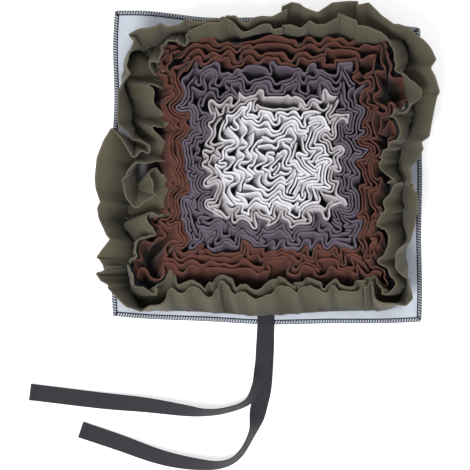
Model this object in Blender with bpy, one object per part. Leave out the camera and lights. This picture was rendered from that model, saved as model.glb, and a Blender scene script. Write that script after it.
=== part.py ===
"""Snuffle mat: a square of felt with nested squares of gathered fleece strips and two webbing ties.

Every fleece strip is sewn down along its middle, so that its two halves stand up as leaves. The free
edges of the leaves are longer than the seam and run in folds. A fold is a sine-generated curve, the
shape of a bent strip, from one turn to the next.

Tables and shapes are in millimetres, and meshes are made in metres. +X is the mat's right, +Y its top
and +Z up. The origin is the middle of the felt's underside.
"""

import math

import bpy
import numpy as np

MM = 0.001

# Felt base: corners from the lower left, anticlockwise, and how its edges stray from straight lines
FELT = 2.0
FELT_CORNERS = ((-226.7, -216.2), (226.9, -224.5), (225.1, 207.8), (-223.9, 232.8))
FELT_EDGE_STEPS = 12
FELT_SAG = (7.5, 1.5, 0.0, 2.0)  # outward at the middle of the lower, right, upper and left edge
FELT_RIPPLE = (0.8, 0.9, 2.2, 1.6)  # waves of the same edges
FELT_RIPPLE_WAVES = 2.5

# Fleece and the seams that hold it
CLOTH = 1.8
SEAM_GAP = 0.3
SEAM_HALF_WIDTH = 1.9
SEAM_HEIGHT = 1.7
MIDDLE = (0.6, -9.5)  # of the nested squares
SHORTER = 5.0  # how much less the squares reach along Y than along X
END_GAP = 5.0  # between two strips that meet
MOST_STAGGER = 9.0  # from the corner's middle to where they meet
CORNER_ROOM = 0.35  # how much further the two leaves are apart round the corners
CORNER_REACH = 1.6  # corner radii from a corner's middle to where that ends

# Folds
FINE = 12  # steps of a curve between two turns
SWING_STEPS = 96
STRIP_COLUMNS = (0.25, 0.75)  # where an inner strip's columns lie between two turns
OLIVE_COLUMNS = (0.0, 1 / 3, 2 / 3)
OLIVE_LEVELS = 2  # rows of faces from the seam to the free edge
MOST_SWING = 1.85  # radians that a fold's edge turns away from its seam
MOST_BEND = math.radians(50)  # from the root of a draped leaf to its edge
MOST_LEAN_SINE = 0.97
EASY_REACH = 14.0  # a leaf that reaches further than this droops
UNEVEN_FOLD = 0.55  # how much longer or shorter a fold is than the average, as an exponent
UNEVEN_DEPTH = 0.30
WAVER = {"apart": (0.12, 23.0), "height": (1.5, 17.0)}  # how much they waver, and how far apart the waves are

# Inner strips: half of the square's side, its corner radius, half the way between the two leaves'
# edges, and their height over the seam
STRIPS = {
    #            half  corner  apart  height
    "brown_1": (178.0, 27.0, 5.0, 40.0),
    "brown_2": (156.0, 27.0, 5.2, 40.5),
    "purple_1": (134.0, 26.0, 5.2, 41.0),
    "purple_2": (113.0, 25.0, 5.2, 42.0),
    "grey_1": (92.0, 23.0, 5.0, 43.0),
    "white_1": (72.5, 21.0, 4.6, 44.0),
    "white_2": (52.5, 16.0, 4.4, 45.0),
    "white_3": (34.5, 14.0, 4.5, 46.0),
    "white_4": (16.0, 10.5, 4.2, 46.0),
}
FOLD = 16.0  # from one turn of the inner strips' folds to the next, on average
FOLDS_OUT = 15  # turns from a side's middle to its end
STEEPEST = 1.02  # the depth of a fold as a share of its length
# How much of that depth the folds have, by how far the seam is from the mat's middle
DEPTHS = ((0, 0.25), (15, 0.35), (34, 0.7), (72, 0.9), (134, 1.0), (156, 0.95), (178, 0.75), (200, 0.6))
BLEND = 34.0  # width of the zone along a diagonal where the folds of two sides meet
DIAGONAL_POWER = 1.6
SIDES = ("bottom", "right", "top", "left")
INNERMOST = "white_4"  # only a right and a left strip, as long as these
INNERMOST_HALF_LENGTH = 19.0

# How far the free edges lie from their seams, combed to the right and to the top of the mat
COMB_X = (
    (-178, 34),
    (-156, 29),
    (-134, 25),
    (-92, 22),
    (0, 15),
    (92, 6),
    (134, -5),
    (156, -10),
    (178, -16),
)
COMB_Y = (
    (-173, 36),
    (-151, 37),
    (-108, 33),
    (-67, 27),
    (0, 20),
    (67, 18),
    (108, 21),
    (151, 21),
    (173, 14),
)

# Whirls that carry the free edges of whole squares out of line: place, radius, degrees
WHIRLS = (
    (-62, 58, 66, 19),
    (66, 52, 60, -20),
    (-48, -66, 60, -12),
    (62, -70, 64, 18),
    (118, -8, 52, -15),
    (-112, -14, 54, 15),
    (8, 118, 54, 16),
    (4, -124, 50, -10),
    (-34, 30, 27, -10),
    (32, 36, 28, -26),
    (38, -14, 26, 20),
    (8, -48, 29, -22),
    (4, 60, 26, 28),
    (66, 8, 24, -30),
    (-66, 8, 24, 30),
    (44, -52, 24, 8),
)

# The olive square, anticlockwise from the middle of its lower left corner: where each fold turns, and
# how far outward the free edges of the outer and of the inner leaf lie there
OLIVE = {"half": 203.5, "corner": 34.0, "leaf": 66.0}
OLIVE_FOLDS = {
    "lower": (
        (-54, 33, -14),
        (-46, 50, -10),
        (-30, 30, -24),
        (-18, 24, -12),
        (6, 6, -24),
        (30, -10, -24),
        (67, -32, -44),
        (104, -24, -36),
        (144, -36, -47),
        (176, -17, -34),
        (231, -37, -47),
        (250, -29, -40),
        (274, -37, -47),
        (303, -27, -40),
        (330, -34, -44),
        (359, -20, -34),
        (384, -6, -28),
        (405, 10, -28),
        (433, 1, -20),
        (480, 5, -32),
        (512, 10, -24),
        (546, 20, -32),
        (572, 10, -26),
    ),
    "right": (
        (574, 8, -24),
        (604, 13, -31),
        (631, 22, -24),
        (663, 37, -30),
        (700, 46, -18),
        (727, 43, -24),
        (753, 45, -10),
        (776, 29, -10),
        (796, 25, 0),
        (818, 56, 18),
        (844, 58, 28),
        (871, 56, 34),
        (902, 43, 22),
        (926, 54, 16),
        (947, 50, 20),
    ),
    "left": (
        (949, 46, 18),
        (972, 32, 12),
        (997, 28, 16),
        (1025, 35, 12),
        (1055, 26, 16),
        (1085, 32, 10),
        (1108, 22, 4),
        (1128, 24, -22),
        (1146, 18, -10),
        (1168, 9, -26),
        (1190, 4, -16),
        (1212, -3, -28),
        (1240, 16, -46),
        (1274, 24, -32),
        (1290, 17, -46),
        (1321, 46, -34),
        (1358, 54, -46),
        (1395, 43, -35),
        (1427, 45, -45),
        (1460, 28, -30),
        (1482, 49, -40),
        (1494, 35, -30),
    ),
}

# Webbing ties: along each, the middle's place and how far the flat web is turned on its edge there
WEB_WIDTH = 25.0
WEB = 1.5
WEB_STEPS = 3  # between two rows
HEM = 8.0  # turned over at the free end
HEM_STEP = 0.4  # over which the web's thickness doubles
TIES = {
    "tie_lower": (
        #   x      y    degrees  lift
        (-1.5, -214.0, 0, 2.4),
        (-1.5, -228.0, 0, 2.4),
        (-1.8, -240.0, 0, 0.0),
        (-2.0, -262.0, 0, 0.0),
        (-3.5, -295.0, 0, 0.0),
        (-6.0, -325.0, 0, 0.0),
        (-12.0, -352.0, 2, 0.0),
        (-21.0, -388.0, 62, 0.0),
        (-42.0, -424.0, 68, 0.0),
        (-70.0, -437.5, 60, 0.0),
        (-112.0, -435.5, 40, 0.0),
        (-160.0, -425.5, 24, 0.0),
        (-221.0, -404.0, 10, 0.0),
        (-276.0, -385.5, 2, 0.0),
    ),
    "tie_upper": (
        (-2.0, -213.0, 0, 4.4),
        (-2.0, -229.0, 0, 4.4),
        (-2.6, -242.0, 0, 2.2),
        (-4.0, -264.0, 0, 2.2),
        (-6.0, -292.0, 2, 2.2),
        (-13.0, -320.0, 40, 2.4),
        (-30.0, -345.0, 66, 3.4),
        (-62.0, -357.0, 68, 0.0),
        (-92.0, -360.0, 62, 0.0),
        (-122.0, -357.0, 46, 0.0),
        (-180.0, -349.0, 26, 0.0),
        (-247.0, -342.5, 10, 0.0),
        (-351.0, -330.0, 2, 0.0),
    ),
}

COLOURS = {
    "felt": (0.47, 0.53, 0.60),
    "olive": (0.115, 0.105, 0.070),
    "brown": (0.155, 0.048, 0.028),
    "purple": (0.130, 0.110, 0.150),
    "grey": (0.46, 0.43, 0.45),
    "white": (0.72, 0.71, 0.73),
    "webbing": (0.045, 0.045, 0.055),
}


def shake(number, salt):
    """A repeatable unevenness between -1 and 1."""
    seed = abs(math.sin(number * 12.9898 + salt * 78.233)) * 43758.5453
    return 2.0 * math.modf(seed)[0] - 1.0


# Plan of a square ring ---------------------------------------------------------------------------


def ring_length(half, corner):
    return 4 * (half - corner) + 4 * (half - SHORTER - corner) + 2 * math.pi * corner


def ring_frame(half, corner, place):
    """The point of a rounded square at a place along it, and the outward direction there.

    The place counts anticlockwise from the middle of the lower left corner.
    """
    straights = (2 * (half - corner), 2 * (half - SHORTER - corner)) * 2
    arc = math.pi * corner / 2
    place = (place - arc / 2) % ring_length(half, corner)
    flat_x, flat_y = half - corner, half - SHORTER - corner
    starts = ((-flat_x, -flat_y), (flat_x, -flat_y), (flat_x, flat_y), (-flat_x, flat_y))
    for side, straight in enumerate(straights):
        turn = math.radians(90 * side - 90)
        along = min(place, straight)
        past = min(max(place - straight, 0.0), arc) / corner
        if place <= straight + arc:
            break
        place -= straight + arc
    x = starts[side][0] - math.sin(turn) * along
    y = starts[side][1] + math.cos(turn) * along
    out = (math.cos(turn + past), math.sin(turn + past))
    return (MIDDLE[0] + x + corner * out[0], MIDDLE[1] + y + corner * out[1]), out


def on_ring(half, corner, along, across):
    """Points that lie across millimetres outside a ring at each place along it."""
    frames = [ring_frame(half, corner, place) for place in along]
    middles = np.array([point for point, _ in frames])
    outs = np.array([out for _, out in frames])
    return middles + outs * np.asarray(across)[:, None]


# Folds -------------------------------------------------------------------------------------------


def swing_paths():
    """For a range of swings, how an edge runs along and across while it swings out and back."""
    share = (np.arange(SWING_STEPS) + 0.5) / SWING_STEPS
    swings = np.linspace(0.01, MOST_SWING, 120)
    heading = swings[:, None] * np.sin(math.pi * share)
    return np.cumsum(np.cos(heading), axis=1), np.cumsum(np.sin(heading), axis=1)


SWING_ALONG, SWING_ACROSS = swing_paths()


def half_fold(start, end):
    """The sine-generated curve from one turn of a fold to the next, in FINE steps, without its end."""
    advance, rise = end[0] - start[0], end[1] - start[1]
    steepness = SWING_ACROSS[:, -1] / SWING_ALONG[:, -1]
    row = int(np.searchsorted(steepness, min(abs(rise) / advance, steepness[-1])))
    along, across = SWING_ALONG[row], SWING_ACROSS[row]
    picks = np.arange(0, len(along), len(along) // FINE)
    x = np.where(picks > 0, along[picks - 1] / along[-1], 0.0)
    y = np.where(picks > 0, across[picks - 1] / across[-1], 0.0)
    return start[0] + advance * x, start[1] + rise * y


def fold_line(turns):
    """(along, across) of the curve through every turn, with FINE steps between two turns."""
    runs = [half_fold(start, end) for start, end in zip(turns, turns[1:])]
    along = np.concatenate([run[0] for run in runs] + [[turns[-1][0]]])
    across = np.concatenate([run[1] for run in runs] + [[turns[-1][1]]])
    return along, across


def column_picks(turns, shares, along, start, end):
    """Where the cloth has columns in its fold line: at both cut ends, and at these shares of each fold."""
    folds = range(len(turns) - 1)
    picks = {number * FINE + round(share * FINE) for number in folds for share in shares}
    first, last = np.searchsorted(along, start), np.searchsorted(along, end)
    inside = {pick for pick in picks if first + 1 < pick < last - 1}
    return sorted(inside | {int(first), int(last)})


def seam_places(turns, picks):
    """The cloth is gathered evenly, so equal lengths of its edge share the seam between two turns."""
    return np.interp(np.array(picks) / FINE, np.arange(len(turns)), [turn[0] for turn in turns])


def wandered(points):
    """Points carried round by the slow whirls, then combed."""
    points = points - MIDDLE
    for x, y, radius, degrees in WHIRLS:
        away = points - (x, y)
        nearness = np.clip(1 - (away**2).sum(axis=1) / radius**2, 0, None)
        turn = math.radians(degrees) * nearness**2
        cos, sin = np.cos(turn)[:, None], np.sin(turn)[:, None]
        points = (x, y) + cos * away + sin * np.stack([-away[:, 1], away[:, 0]], axis=1)
    comb_x = np.interp(points[:, 0], *zip(*COMB_X))
    comb_y = np.interp(points[:, 1], *zip(*COMB_Y))
    return points + MIDDLE + np.stack([comb_x, comb_y], axis=1)


def outward(line):
    """Unit vectors to the right of a line in plan, which is outward on a ring run anticlockwise."""
    ahead = np.gradient(line, axis=0)
    ahead /= np.linalg.norm(ahead, axis=1)[:, None]
    return np.stack([ahead[:, 1], -ahead[:, 0]], axis=1)


# Leaves ------------------------------------------------------------------------------------------


def standing_leaf(roots, edges, heights):
    """Middle surface of a leaf that stands straight from its seam, as two rows of points."""
    floor = np.full(len(roots), FELT + SEAM_GAP)
    return np.array([np.column_stack([roots, floor]), np.column_stack([edges, floor + heights])])


def drooping_leaf(roots, edges, leaf, levels):
    """Middle surface of a leaf that is a constant length from seam to free edge, as rows of points.

    The further it reaches the lower its edge lies, and a far reach makes it droop in a round bend.
    """
    out = outward(roots)
    ahead = np.stack([-out[:, 1], out[:, 0]], axis=1)
    reach = ((edges - roots) * out).sum(axis=1)
    slip = ((edges - roots) * ahead).sum(axis=1)
    length = np.sqrt(leaf**2 - slip**2)
    bend = MOST_BEND * np.tanh(reach / EASY_REACH * np.abs(reach / EASY_REACH))
    sine = reach / length / np.sinc(bend / 2 / math.pi)
    lean = np.arcsin(np.clip(sine, -MOST_LEAN_SINE, MOST_LEAN_SINE)) - bend / 2
    rows = []
    for level in np.linspace(0, 1, levels + 1):
        run = length * level * np.sinc(bend * level / 2 / math.pi)
        tilt = lean + bend * level / 2
        place = roots + out * (run * np.sin(tilt))[:, None] + ahead * (slip * level)[:, None]
        rows.append(np.column_stack([place, FELT + SEAM_GAP + run * np.cos(tilt)]))
    return np.array(rows)


def faces_of_leaf(surface):
    """The outer and the inner face of a leaf, half the cloth's thickness from its middle surface."""
    along = np.gradient(surface, axis=1)
    up = np.gradient(surface, axis=0)
    normal = np.cross(along, up)
    normal /= np.linalg.norm(normal, axis=2)[:, :, None]
    return surface + normal * CLOTH / 2, surface - normal * CLOTH / 2


def strip_loops(roots, outer, inner):
    """The strip's cross-section at every column: up and over one leaf, down to the seam, over the other."""
    side = outward(roots) * SEAM_HALF_WIDTH
    floor = np.full(len(roots), FELT + SEAM_GAP)
    foot_out = np.column_stack([roots + side, floor])
    foot_in = np.column_stack([roots - side, floor])
    root = np.column_stack([roots, floor])
    lean = (outer[1] + inner[1]) / 2 - root
    seam = root + lean / np.linalg.norm(lean, axis=1)[:, None] * SEAM_HEIGHT
    outer_out, outer_in = faces_of_leaf(outer)
    inner_out, inner_in = faces_of_leaf(inner)
    rows = [foot_out, *outer_out[1:], *outer_in[:0:-1], seam, *inner_out[1:], *inner_in[:0:-1], foot_in]
    return np.array(rows).transpose(1, 0, 2)


def slanted(near, far, low, high, rising):
    """Two triangles between two columns, split from the near low corner to the far high one.

    Every face is split this way, so that the two faces of a leaf run parallel.
    """
    if rising:
        return [(near + low, far + low, far + high), (near + low, far + high, near + high)]
    return [(near + high, far + high, near + low), (far + high, far + low, near + low)]


def strip_faces(columns, outer_levels, inner_levels):
    """Faces round the swept cross-section and over its two ends, facing out."""
    count = 3 + 2 * outer_levels + 2 * inner_levels
    seam = 2 * outer_levels + 1
    rising = set(range(outer_levels)) | set(range(seam, seam + inner_levels))
    faces = []
    for column in range(columns - 1):
        near, far = column * count, (column + 1) * count
        for corner in range(count):
            after = (corner + 1) % count
            low, high = (corner, after) if corner in rising else (after, corner)
            faces += slanted(near, far, low, high, corner in rising)
    pairs = [(low, 2 * outer_levels + 1 - low) for low in range(outer_levels + 1)]
    pairs_inner = [(seam + low, count - 1 - low) for low in range(inner_levels + 1)]
    cap = [(a, c, d, b) for (a, b), (c, d) in zip(pairs, pairs[1:])]
    cap += [(a, c, d, b) for (a, b), (c, d) in zip(pairs_inner, pairs_inner[1:])]
    cap.append((0, seam, count - 1))
    last = (columns - 1) * count
    faces += cap
    faces += [tuple(last + corner for corner in reversed(face)) for face in cap]
    return faces


def make_strip(name, colour, roots, outer, inner):
    loops = strip_loops(roots, outer, inner)
    faces = strip_faces(len(roots), len(outer) - 1, len(inner) - 1)
    add_object(name, loops.reshape(-1, 3), faces, colour)


def corner_room(half, corner, along):
    """From 0 on the straights to 1 round the corners, where neighbouring seams are further apart."""
    quarters = [ring_length(half, corner) * share for share in (0.0, 0.5, 1.0)]
    quarters += [2 * (half - corner) + math.pi * corner / 2 + start for start in quarters[:2]]
    away = np.min([np.abs(along - place) for place in quarters], axis=0)
    return np.clip(CORNER_REACH - away / corner, 0.0, 1.0)


def side_turns(salt):
    """Turns of the folds on one side of the mat, uneven and alternating outward and inward.

    They count from the side's middle. All strips of the side share them, so that neighbouring folds
    nest in one another. A long fold is deeper than a short one.
    """
    numbers = range(2 * FOLDS_OUT)
    folds = [FOLD * math.exp(UNEVEN_FOLD * shake(number, salt + 3)) for number in numbers]
    places = np.concatenate([[0.0], np.cumsum(folds)])
    places -= places[FOLDS_OUT]
    turns = []
    for number in range(1, 2 * FOLDS_OUT):
        longer, shorter = max(folds[number - 1:number + 1]), min(folds[number - 1:number + 1])
        depth = STEEPEST / 2 * (longer + 3 * shorter) / 4
        depth *= 1 - UNEVEN_DEPTH * abs(shake(number, salt + 11))
        turns.append((float(places[number]), (-1) ** number * depth))
    return turns


def folded(points):
    """Points moved outward and inward by the folds of the side they lie on, less near the diagonals."""
    x, y = (points - MIDDLE).T
    far_x, far_y = np.abs(x), np.abs(y) + SHORTER
    lean = np.sin(math.pi / 2 * np.clip((far_y - far_x) / BLEND, -1, 1)) / 2
    share_x, share_y = (0.5 - lean) ** DIAGONAL_POWER, (0.5 + lean) ** DIAGONAL_POWER
    depth = np.interp(np.maximum(far_x, far_y), *zip(*DEPTHS))
    bottom, right, top, left = (fold_line(side_turns(salt)) for salt in range(4))
    move_x = np.where(x > 0, np.interp(y, *right), -np.interp(-y, *left))
    move_y = np.where(y > 0, np.interp(-x, *top), -np.interp(x, *bottom))
    return points + np.column_stack([move_x * share_x, move_y * share_y]) * depth[:, None]


def inner_strip(name, number, side):
    half, corner, apart, height = STRIPS[name]
    length = ring_length(half, corner)
    first = 2 * half - 2 * corner + math.pi * corner / 2
    quarter = [0.0, first, length / 2, length / 2 + first, length]
    middle = (quarter[side] + quarter[side + 1]) / 2
    moved = MOST_STAGGER * shake(number, 5)
    start, end = quarter[side] + moved + END_GAP / 2, quarter[side + 1] + moved - END_GAP / 2
    if name == INNERMOST:
        start, end = middle - INNERMOST_HALF_LENGTH, middle + INNERMOST_HALF_LENGTH
    turns = side_turns(side)
    along = fold_line(turns)[0] + middle
    picks = column_picks(turns, STRIP_COLUMNS, along, start, end)
    places = seam_places(turns, picks) + middle
    along = along[picks]
    places[0] = along[0] = start
    places[-1] = along[-1] = end
    roots = on_ring(half, corner, places, np.zeros(len(places)))
    room = 1 + CORNER_ROOM * corner_room(half, corner, along)
    (apart_waver, apart_wave), (height_waver, height_wave) = WAVER["apart"], WAVER["height"]
    leaves = []
    for way in (1, -1):
        shift = way * apart * (1 + apart_waver * np.sin(along / apart_wave + number + way))
        edges = wandered(folded(on_ring(half, corner, along, shift * room)))
        heights = height + height_waver * np.sin(places / height_wave + 2 * number + way)
        leaves.append(standing_leaf(roots, edges, heights))
    make_strip(f"ruffle_{name}_{SIDES[side]}", name.split("_")[0], roots, *leaves)


def olive_strip(name):
    half, corner, leaf = OLIVE["half"], OLIVE["corner"], OLIVE["leaf"]
    rows = OLIVE_FOLDS[name]
    leaves = []
    for column in (1, 2):
        turns = [(row[0], row[column]) for row in rows]
        along, across = fold_line(turns)
        picks = column_picks(turns, OLIVE_COLUMNS, along, turns[0][0], turns[-1][0])
        places = seam_places(turns, picks)
        roots = on_ring(half, corner, places, np.zeros(len(places)))
        edges = on_ring(half, corner, along[picks], across[picks])
        leaves.append(drooping_leaf(roots, edges, leaf, OLIVE_LEVELS))
    make_strip(f"ruffle_olive_{name}", "olive", roots, *leaves)


# Base and ties -----------------------------------------------------------------------------------


def felt_outline():
    corners = np.array(FELT_CORNERS)
    points = []
    for side, start in enumerate(corners):
        edge = corners[(side + 1) % 4] - start
        out = np.array([edge[1], -edge[0]]) / np.linalg.norm(edge)
        for share in np.arange(FELT_EDGE_STEPS) / FELT_EDGE_STEPS:
            stray = FELT_SAG[side] * math.sin(math.pi * share)
            stray += FELT_RIPPLE[side] * math.sin(2 * math.pi * FELT_RIPPLE_WAVES * share)
            points.append(start + edge * share + out * stray)
    return np.array(points)


def make_base():
    outline = felt_outline()
    count = len(outline)
    points = np.array([(x, y, height) for height in (0.0, FELT) for x, y in outline])
    faces = [tuple(reversed(range(count))), tuple(range(count, 2 * count))]
    for near in range(count):
        far = (near + 1) % count
        faces.append((near, far, far + count, near + count))
    add_object("base", points, faces, "felt")


def smooth_rows(rows, steps):
    """Rows of numbers with so many steps between two, on a curve through each (Catmull-Rom)."""
    rows = np.array(rows, float)
    padded = np.vstack([2 * rows[0] - rows[1], rows, 2 * rows[-1] - rows[-2]])
    found = []
    for before, start, end, after in zip(padded, padded[1:], padded[2:], padded[3:]):
        for share in np.arange(steps) / steps:
            found.append(
                0.5 * (2 * start + (end - before) * share
                       + (2 * before - 5 * start + 4 * end - after) * share**2
                       + (3 * start - before - 3 * end + after) * share**3)
            )
    return np.array(found + [rows[-1]])


def web_section(thick, turn):
    """Corners of the web's cross-section, across and up, when it lies turned on a floor."""
    cos, sin = math.cos(turn), math.sin(turn)
    corners = np.array([(-1, -1), (1, -1), (1, 1), (-1, 1)]) * (WEB_WIDTH / 2, thick / 2)
    across, up = corners.T
    turned = np.column_stack([across * cos - up * sin, across * sin + up * cos])
    turned[:, 1] -= turned[:, 1].min()
    return turned


def make_tie(name):
    rows = smooth_rows(TIES[name], WEB_STEPS)
    rows = with_hem(rows)
    side = outward(rows[:, :2])
    points = []
    for (x, y, degrees, lift, thick), across in zip(rows, side):
        for over, up in web_section(thick, math.radians(max(degrees, 0))):
            points.append((x + across[0] * over, y + across[1] * over, max(lift, 0) + up))
    faces = [(0, 1, 2, 3)]
    for near in range(0, 4 * len(rows) - 4, 4):
        for corner in range(4):
            after = (corner + 1) % 4
            faces.append((near + corner, near + 4 + corner, near + 4 + after, near + after))
    last = 4 * len(rows) - 4
    faces.append((last + 3, last + 2, last + 1, last))
    add_object(name, points, faces, "webbing")


def with_hem(rows):
    """The web's rows with its thickness, doubled over the hem at the free end."""
    from_end = np.cumsum(np.linalg.norm(np.diff(rows[::-1, :2], axis=0), axis=1))
    tail, before = rows[-1], rows[-2]
    seam = tail + (before - tail) * HEM / from_end[0]
    step = tail + (before - tail) * (HEM + HEM_STEP) / from_end[0]
    thick = [WEB] * (len(rows) - 1) + [WEB, 2 * WEB, 2 * WEB]
    return np.column_stack([np.vstack([rows[:-1], step, seam, tail]), thick])


# Scene -------------------------------------------------------------------------------------------


def material(name):
    found = bpy.data.materials.get(name)
    if found is None:
        found = bpy.data.materials.new(name)
        found.use_nodes = True
        shader = found.node_tree.nodes["Principled BSDF"]
        shader.inputs["Base Color"].default_value = (*COLOURS[name], 1.0)
        shader.inputs["Roughness"].default_value = 0.9
        shader.inputs["Metallic"].default_value = 0.0
    return found


def add_object(name, points, faces, colour):
    mesh = bpy.data.meshes.new(name)
    mesh.from_pydata((np.asarray(points) * MM).tolist(), [], faces)
    mesh.materials.append(material(colour))
    mesh.update()
    made = bpy.data.objects.new(name, mesh)
    bpy.context.scene.collection.objects.link(made)


def clear_scene():
    for old in list(bpy.data.objects):
        bpy.data.objects.remove(old, do_unlink=True)


def main():
    clear_scene()
    make_base()
    for side in OLIVE_FOLDS:
        olive_strip(side)
    for number, name in enumerate(STRIPS):
        for side in (1, 3) if name == INNERMOST else range(4):
            inner_strip(name, number, side)
    for name in TIES:
        make_tie(name)


main()
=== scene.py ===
"""Snuffle mat: a felt square with nested squares of gathered fleece strips and two webbing ties.

Tables and shapes are in millimetres, and meshes are made in metres. +X is the mat's right, +Y its top
and +Z up. The origin is the middle of the felt's underside.

The free edges of the inner strips start on the folds of the solids and are then let grow in plan, as
a gathered edge does that is longer than the room it has. They push each other away while they grow.
"""

import math

import bpy
import numpy as np
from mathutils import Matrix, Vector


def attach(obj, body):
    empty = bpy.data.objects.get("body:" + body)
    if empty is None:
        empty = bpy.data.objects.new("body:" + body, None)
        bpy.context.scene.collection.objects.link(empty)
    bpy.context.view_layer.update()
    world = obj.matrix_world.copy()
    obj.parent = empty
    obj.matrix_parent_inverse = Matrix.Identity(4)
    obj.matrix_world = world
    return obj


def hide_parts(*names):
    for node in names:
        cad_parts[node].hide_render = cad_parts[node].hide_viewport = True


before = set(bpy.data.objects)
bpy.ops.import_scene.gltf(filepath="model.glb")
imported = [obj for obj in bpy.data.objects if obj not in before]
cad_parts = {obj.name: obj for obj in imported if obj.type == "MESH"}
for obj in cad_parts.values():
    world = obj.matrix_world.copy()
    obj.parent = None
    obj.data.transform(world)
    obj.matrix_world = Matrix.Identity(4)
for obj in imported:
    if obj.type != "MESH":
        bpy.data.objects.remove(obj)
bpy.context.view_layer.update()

MM = 0.001
TINY = 1e-9  # instead of a division by zero

# Felt base: corners from the lower left, anticlockwise, and how its edges stray from straight lines
FELT = 2.0
FELT_CORNERS = ((-226.7, -216.2), (226.9, -224.5), (225.1, 207.8), (-223.9, 232.8))
FELT_EDGE_STEPS = 110
FELT_SAG = (7.5, 1.5, 0.0, 2.0)  # outward at the middle of the lower, right, upper and left edge
FELT_RIPPLE = (0.8, 0.9, 2.2, 1.6)  # waves of the same edges
FELT_RIPPLE_WAVES = 2.5

# Fleece and the seams that hold it
SEAM_GAP = 0.3  # from the felt to the foot of a leaf
MIDDLE = (0.6, -9.5)  # of the nested squares
SHORTER = 5.0  # how much less the squares reach along Y than along X
END_GAP = 5.0  # between two strips that meet
MOST_STAGGER = 9.0  # from the corner's middle to where they meet
CORNER_ROOM = 0.35  # how much further the two leaves are apart round the corners
CORNER_REACH = 1.6  # corner radii from a corner's middle to where that ends

# Folds
FINE = 12  # steps of a curve between two turns
SWING_STEPS = 96
MOST_SWING = 1.85  # radians that a fold's edge turns away from its seam
MOST_BEND = math.radians(50)  # from the root of a draped leaf to its edge
MOST_LEAN_SINE = 0.97
EASY_REACH = 14.0  # a leaf that reaches further than this droops
UNEVEN_FOLD = 0.55  # how much longer or shorter a fold is than the average, as an exponent
UNEVEN_DEPTH = 0.30
WAVER = {"apart": (0.12, 23.0), "height": (1.5, 17.0)}  # how much they waver, and over what length

# Inner strips: half of the square's side, its corner radius, half the way between the two leaves'
# edges, and their height over the seam
STRIPS = {
    #            half  corner  apart  height
    "brown_1": (178.0, 27.0, 5.0, 40.0),
    "brown_2": (156.0, 27.0, 5.2, 40.5),
    "purple_1": (134.0, 26.0, 5.2, 41.0),
    "purple_2": (113.0, 25.0, 5.2, 42.0),
    "grey_1": (92.0, 23.0, 5.0, 43.0),
    "white_1": (72.5, 21.0, 4.6, 44.0),
    "white_2": (52.5, 16.0, 4.4, 45.0),
    "white_3": (34.5, 14.0, 4.5, 46.0),
    "white_4": (16.0, 10.5, 4.2, 46.0),
}
FOLD = 16.0  # from one turn of the inner strips' folds to the next, on average
FOLDS_OUT = 15  # turns from a side's middle to its end
STEEPEST = 1.02  # the depth of a fold as a share of its length
# How much of that depth the folds have, by how far the seam is from the mat's middle
DEPTHS = ((0, 0.25), (15, 0.35), (34, 0.7), (72, 0.9), (134, 1.0), (156, 0.95), (178, 0.75), (200, 0.6))
BLEND = 34.0  # width of the zone along a diagonal where the folds of two sides meet
DIAGONAL_POWER = 1.6
SIDES = ("bottom", "right", "top", "left")
INNERMOST = "white_4"  # only a right and a left strip, as long as these
INNERMOST_HALF_LENGTH = 19.0

# How far the free edges lie from their seams, combed to the right and to the top of the mat
COMB_X = (
    (-178, 34), (-156, 29), (-134, 25), (-92, 22), (0, 15), (92, 6), (134, -5), (156, -10), (178, -16),
)
COMB_Y = (
    (-173, 36), (-151, 37), (-108, 33), (-67, 27), (0, 20), (67, 18), (108, 21), (151, 21), (173, 14),
)

# Whirls that carry the free edges of whole squares out of line: place, radius, degrees
WHIRLS = (
    (-62, 58, 66, 19), (66, 52, 60, -20), (-48, -66, 60, -12), (62, -70, 64, 18), (118, -8, 52, -15),
    (-112, -14, 54, 15), (8, 118, 54, 16), (4, -124, 50, -10), (-34, 30, 27, -10), (32, 36, 28, -26),
    (38, -14, 26, 20), (8, -48, 29, -22), (4, 60, 26, 28), (66, 8, 24, -30), (-66, 8, 24, 30),
    (44, -52, 24, 8),
)

# The olive square, anticlockwise from the middle of its lower left corner: where each fold turns, and
# how far outward the free edges of the outer and of the inner leaf lie there
OLIVE = {"half": 203.5, "corner": 34.0, "leaf": 66.0}
OLIVE_FOLDS = {
    "lower": (
        (-54, 33, -14), (-46, 50, -10), (-30, 30, -24), (-18, 24, -12), (6, 6, -24), (30, -10, -24),
        (67, -32, -44), (104, -24, -36), (144, -36, -47), (176, -17, -34), (231, -37, -47),
        (250, -29, -40), (274, -37, -47), (303, -27, -40), (330, -34, -44), (359, -20, -34),
        (384, -6, -28), (405, 10, -28), (433, 1, -20), (480, 5, -32), (512, 10, -24), (546, 20, -32),
        (572, 10, -26),
    ),
    "right": (
        (574, 8, -24), (604, 13, -31), (631, 22, -24), (663, 37, -30), (700, 46, -18), (727, 43, -24),
        (753, 45, -10), (776, 29, -10), (796, 25, 0), (818, 56, 18), (844, 58, 28), (871, 56, 34),
        (902, 43, 22), (926, 54, 16), (947, 50, 20),
    ),
    "left": (
        (949, 46, 18), (972, 32, 12), (997, 28, 16), (1025, 35, 12), (1055, 26, 16), (1085, 32, 10),
        (1108, 22, 4), (1128, 24, -22), (1146, 18, -10), (1168, 9, -26), (1190, 4, -16), (1212, -3, -28),
        (1240, 16, -46), (1274, 24, -32), (1290, 17, -46), (1321, 46, -34), (1358, 54, -46),
        (1395, 43, -35), (1427, 45, -45), (1460, 28, -30), (1482, 49, -40), (1494, 35, -30),
    ),
}

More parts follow.
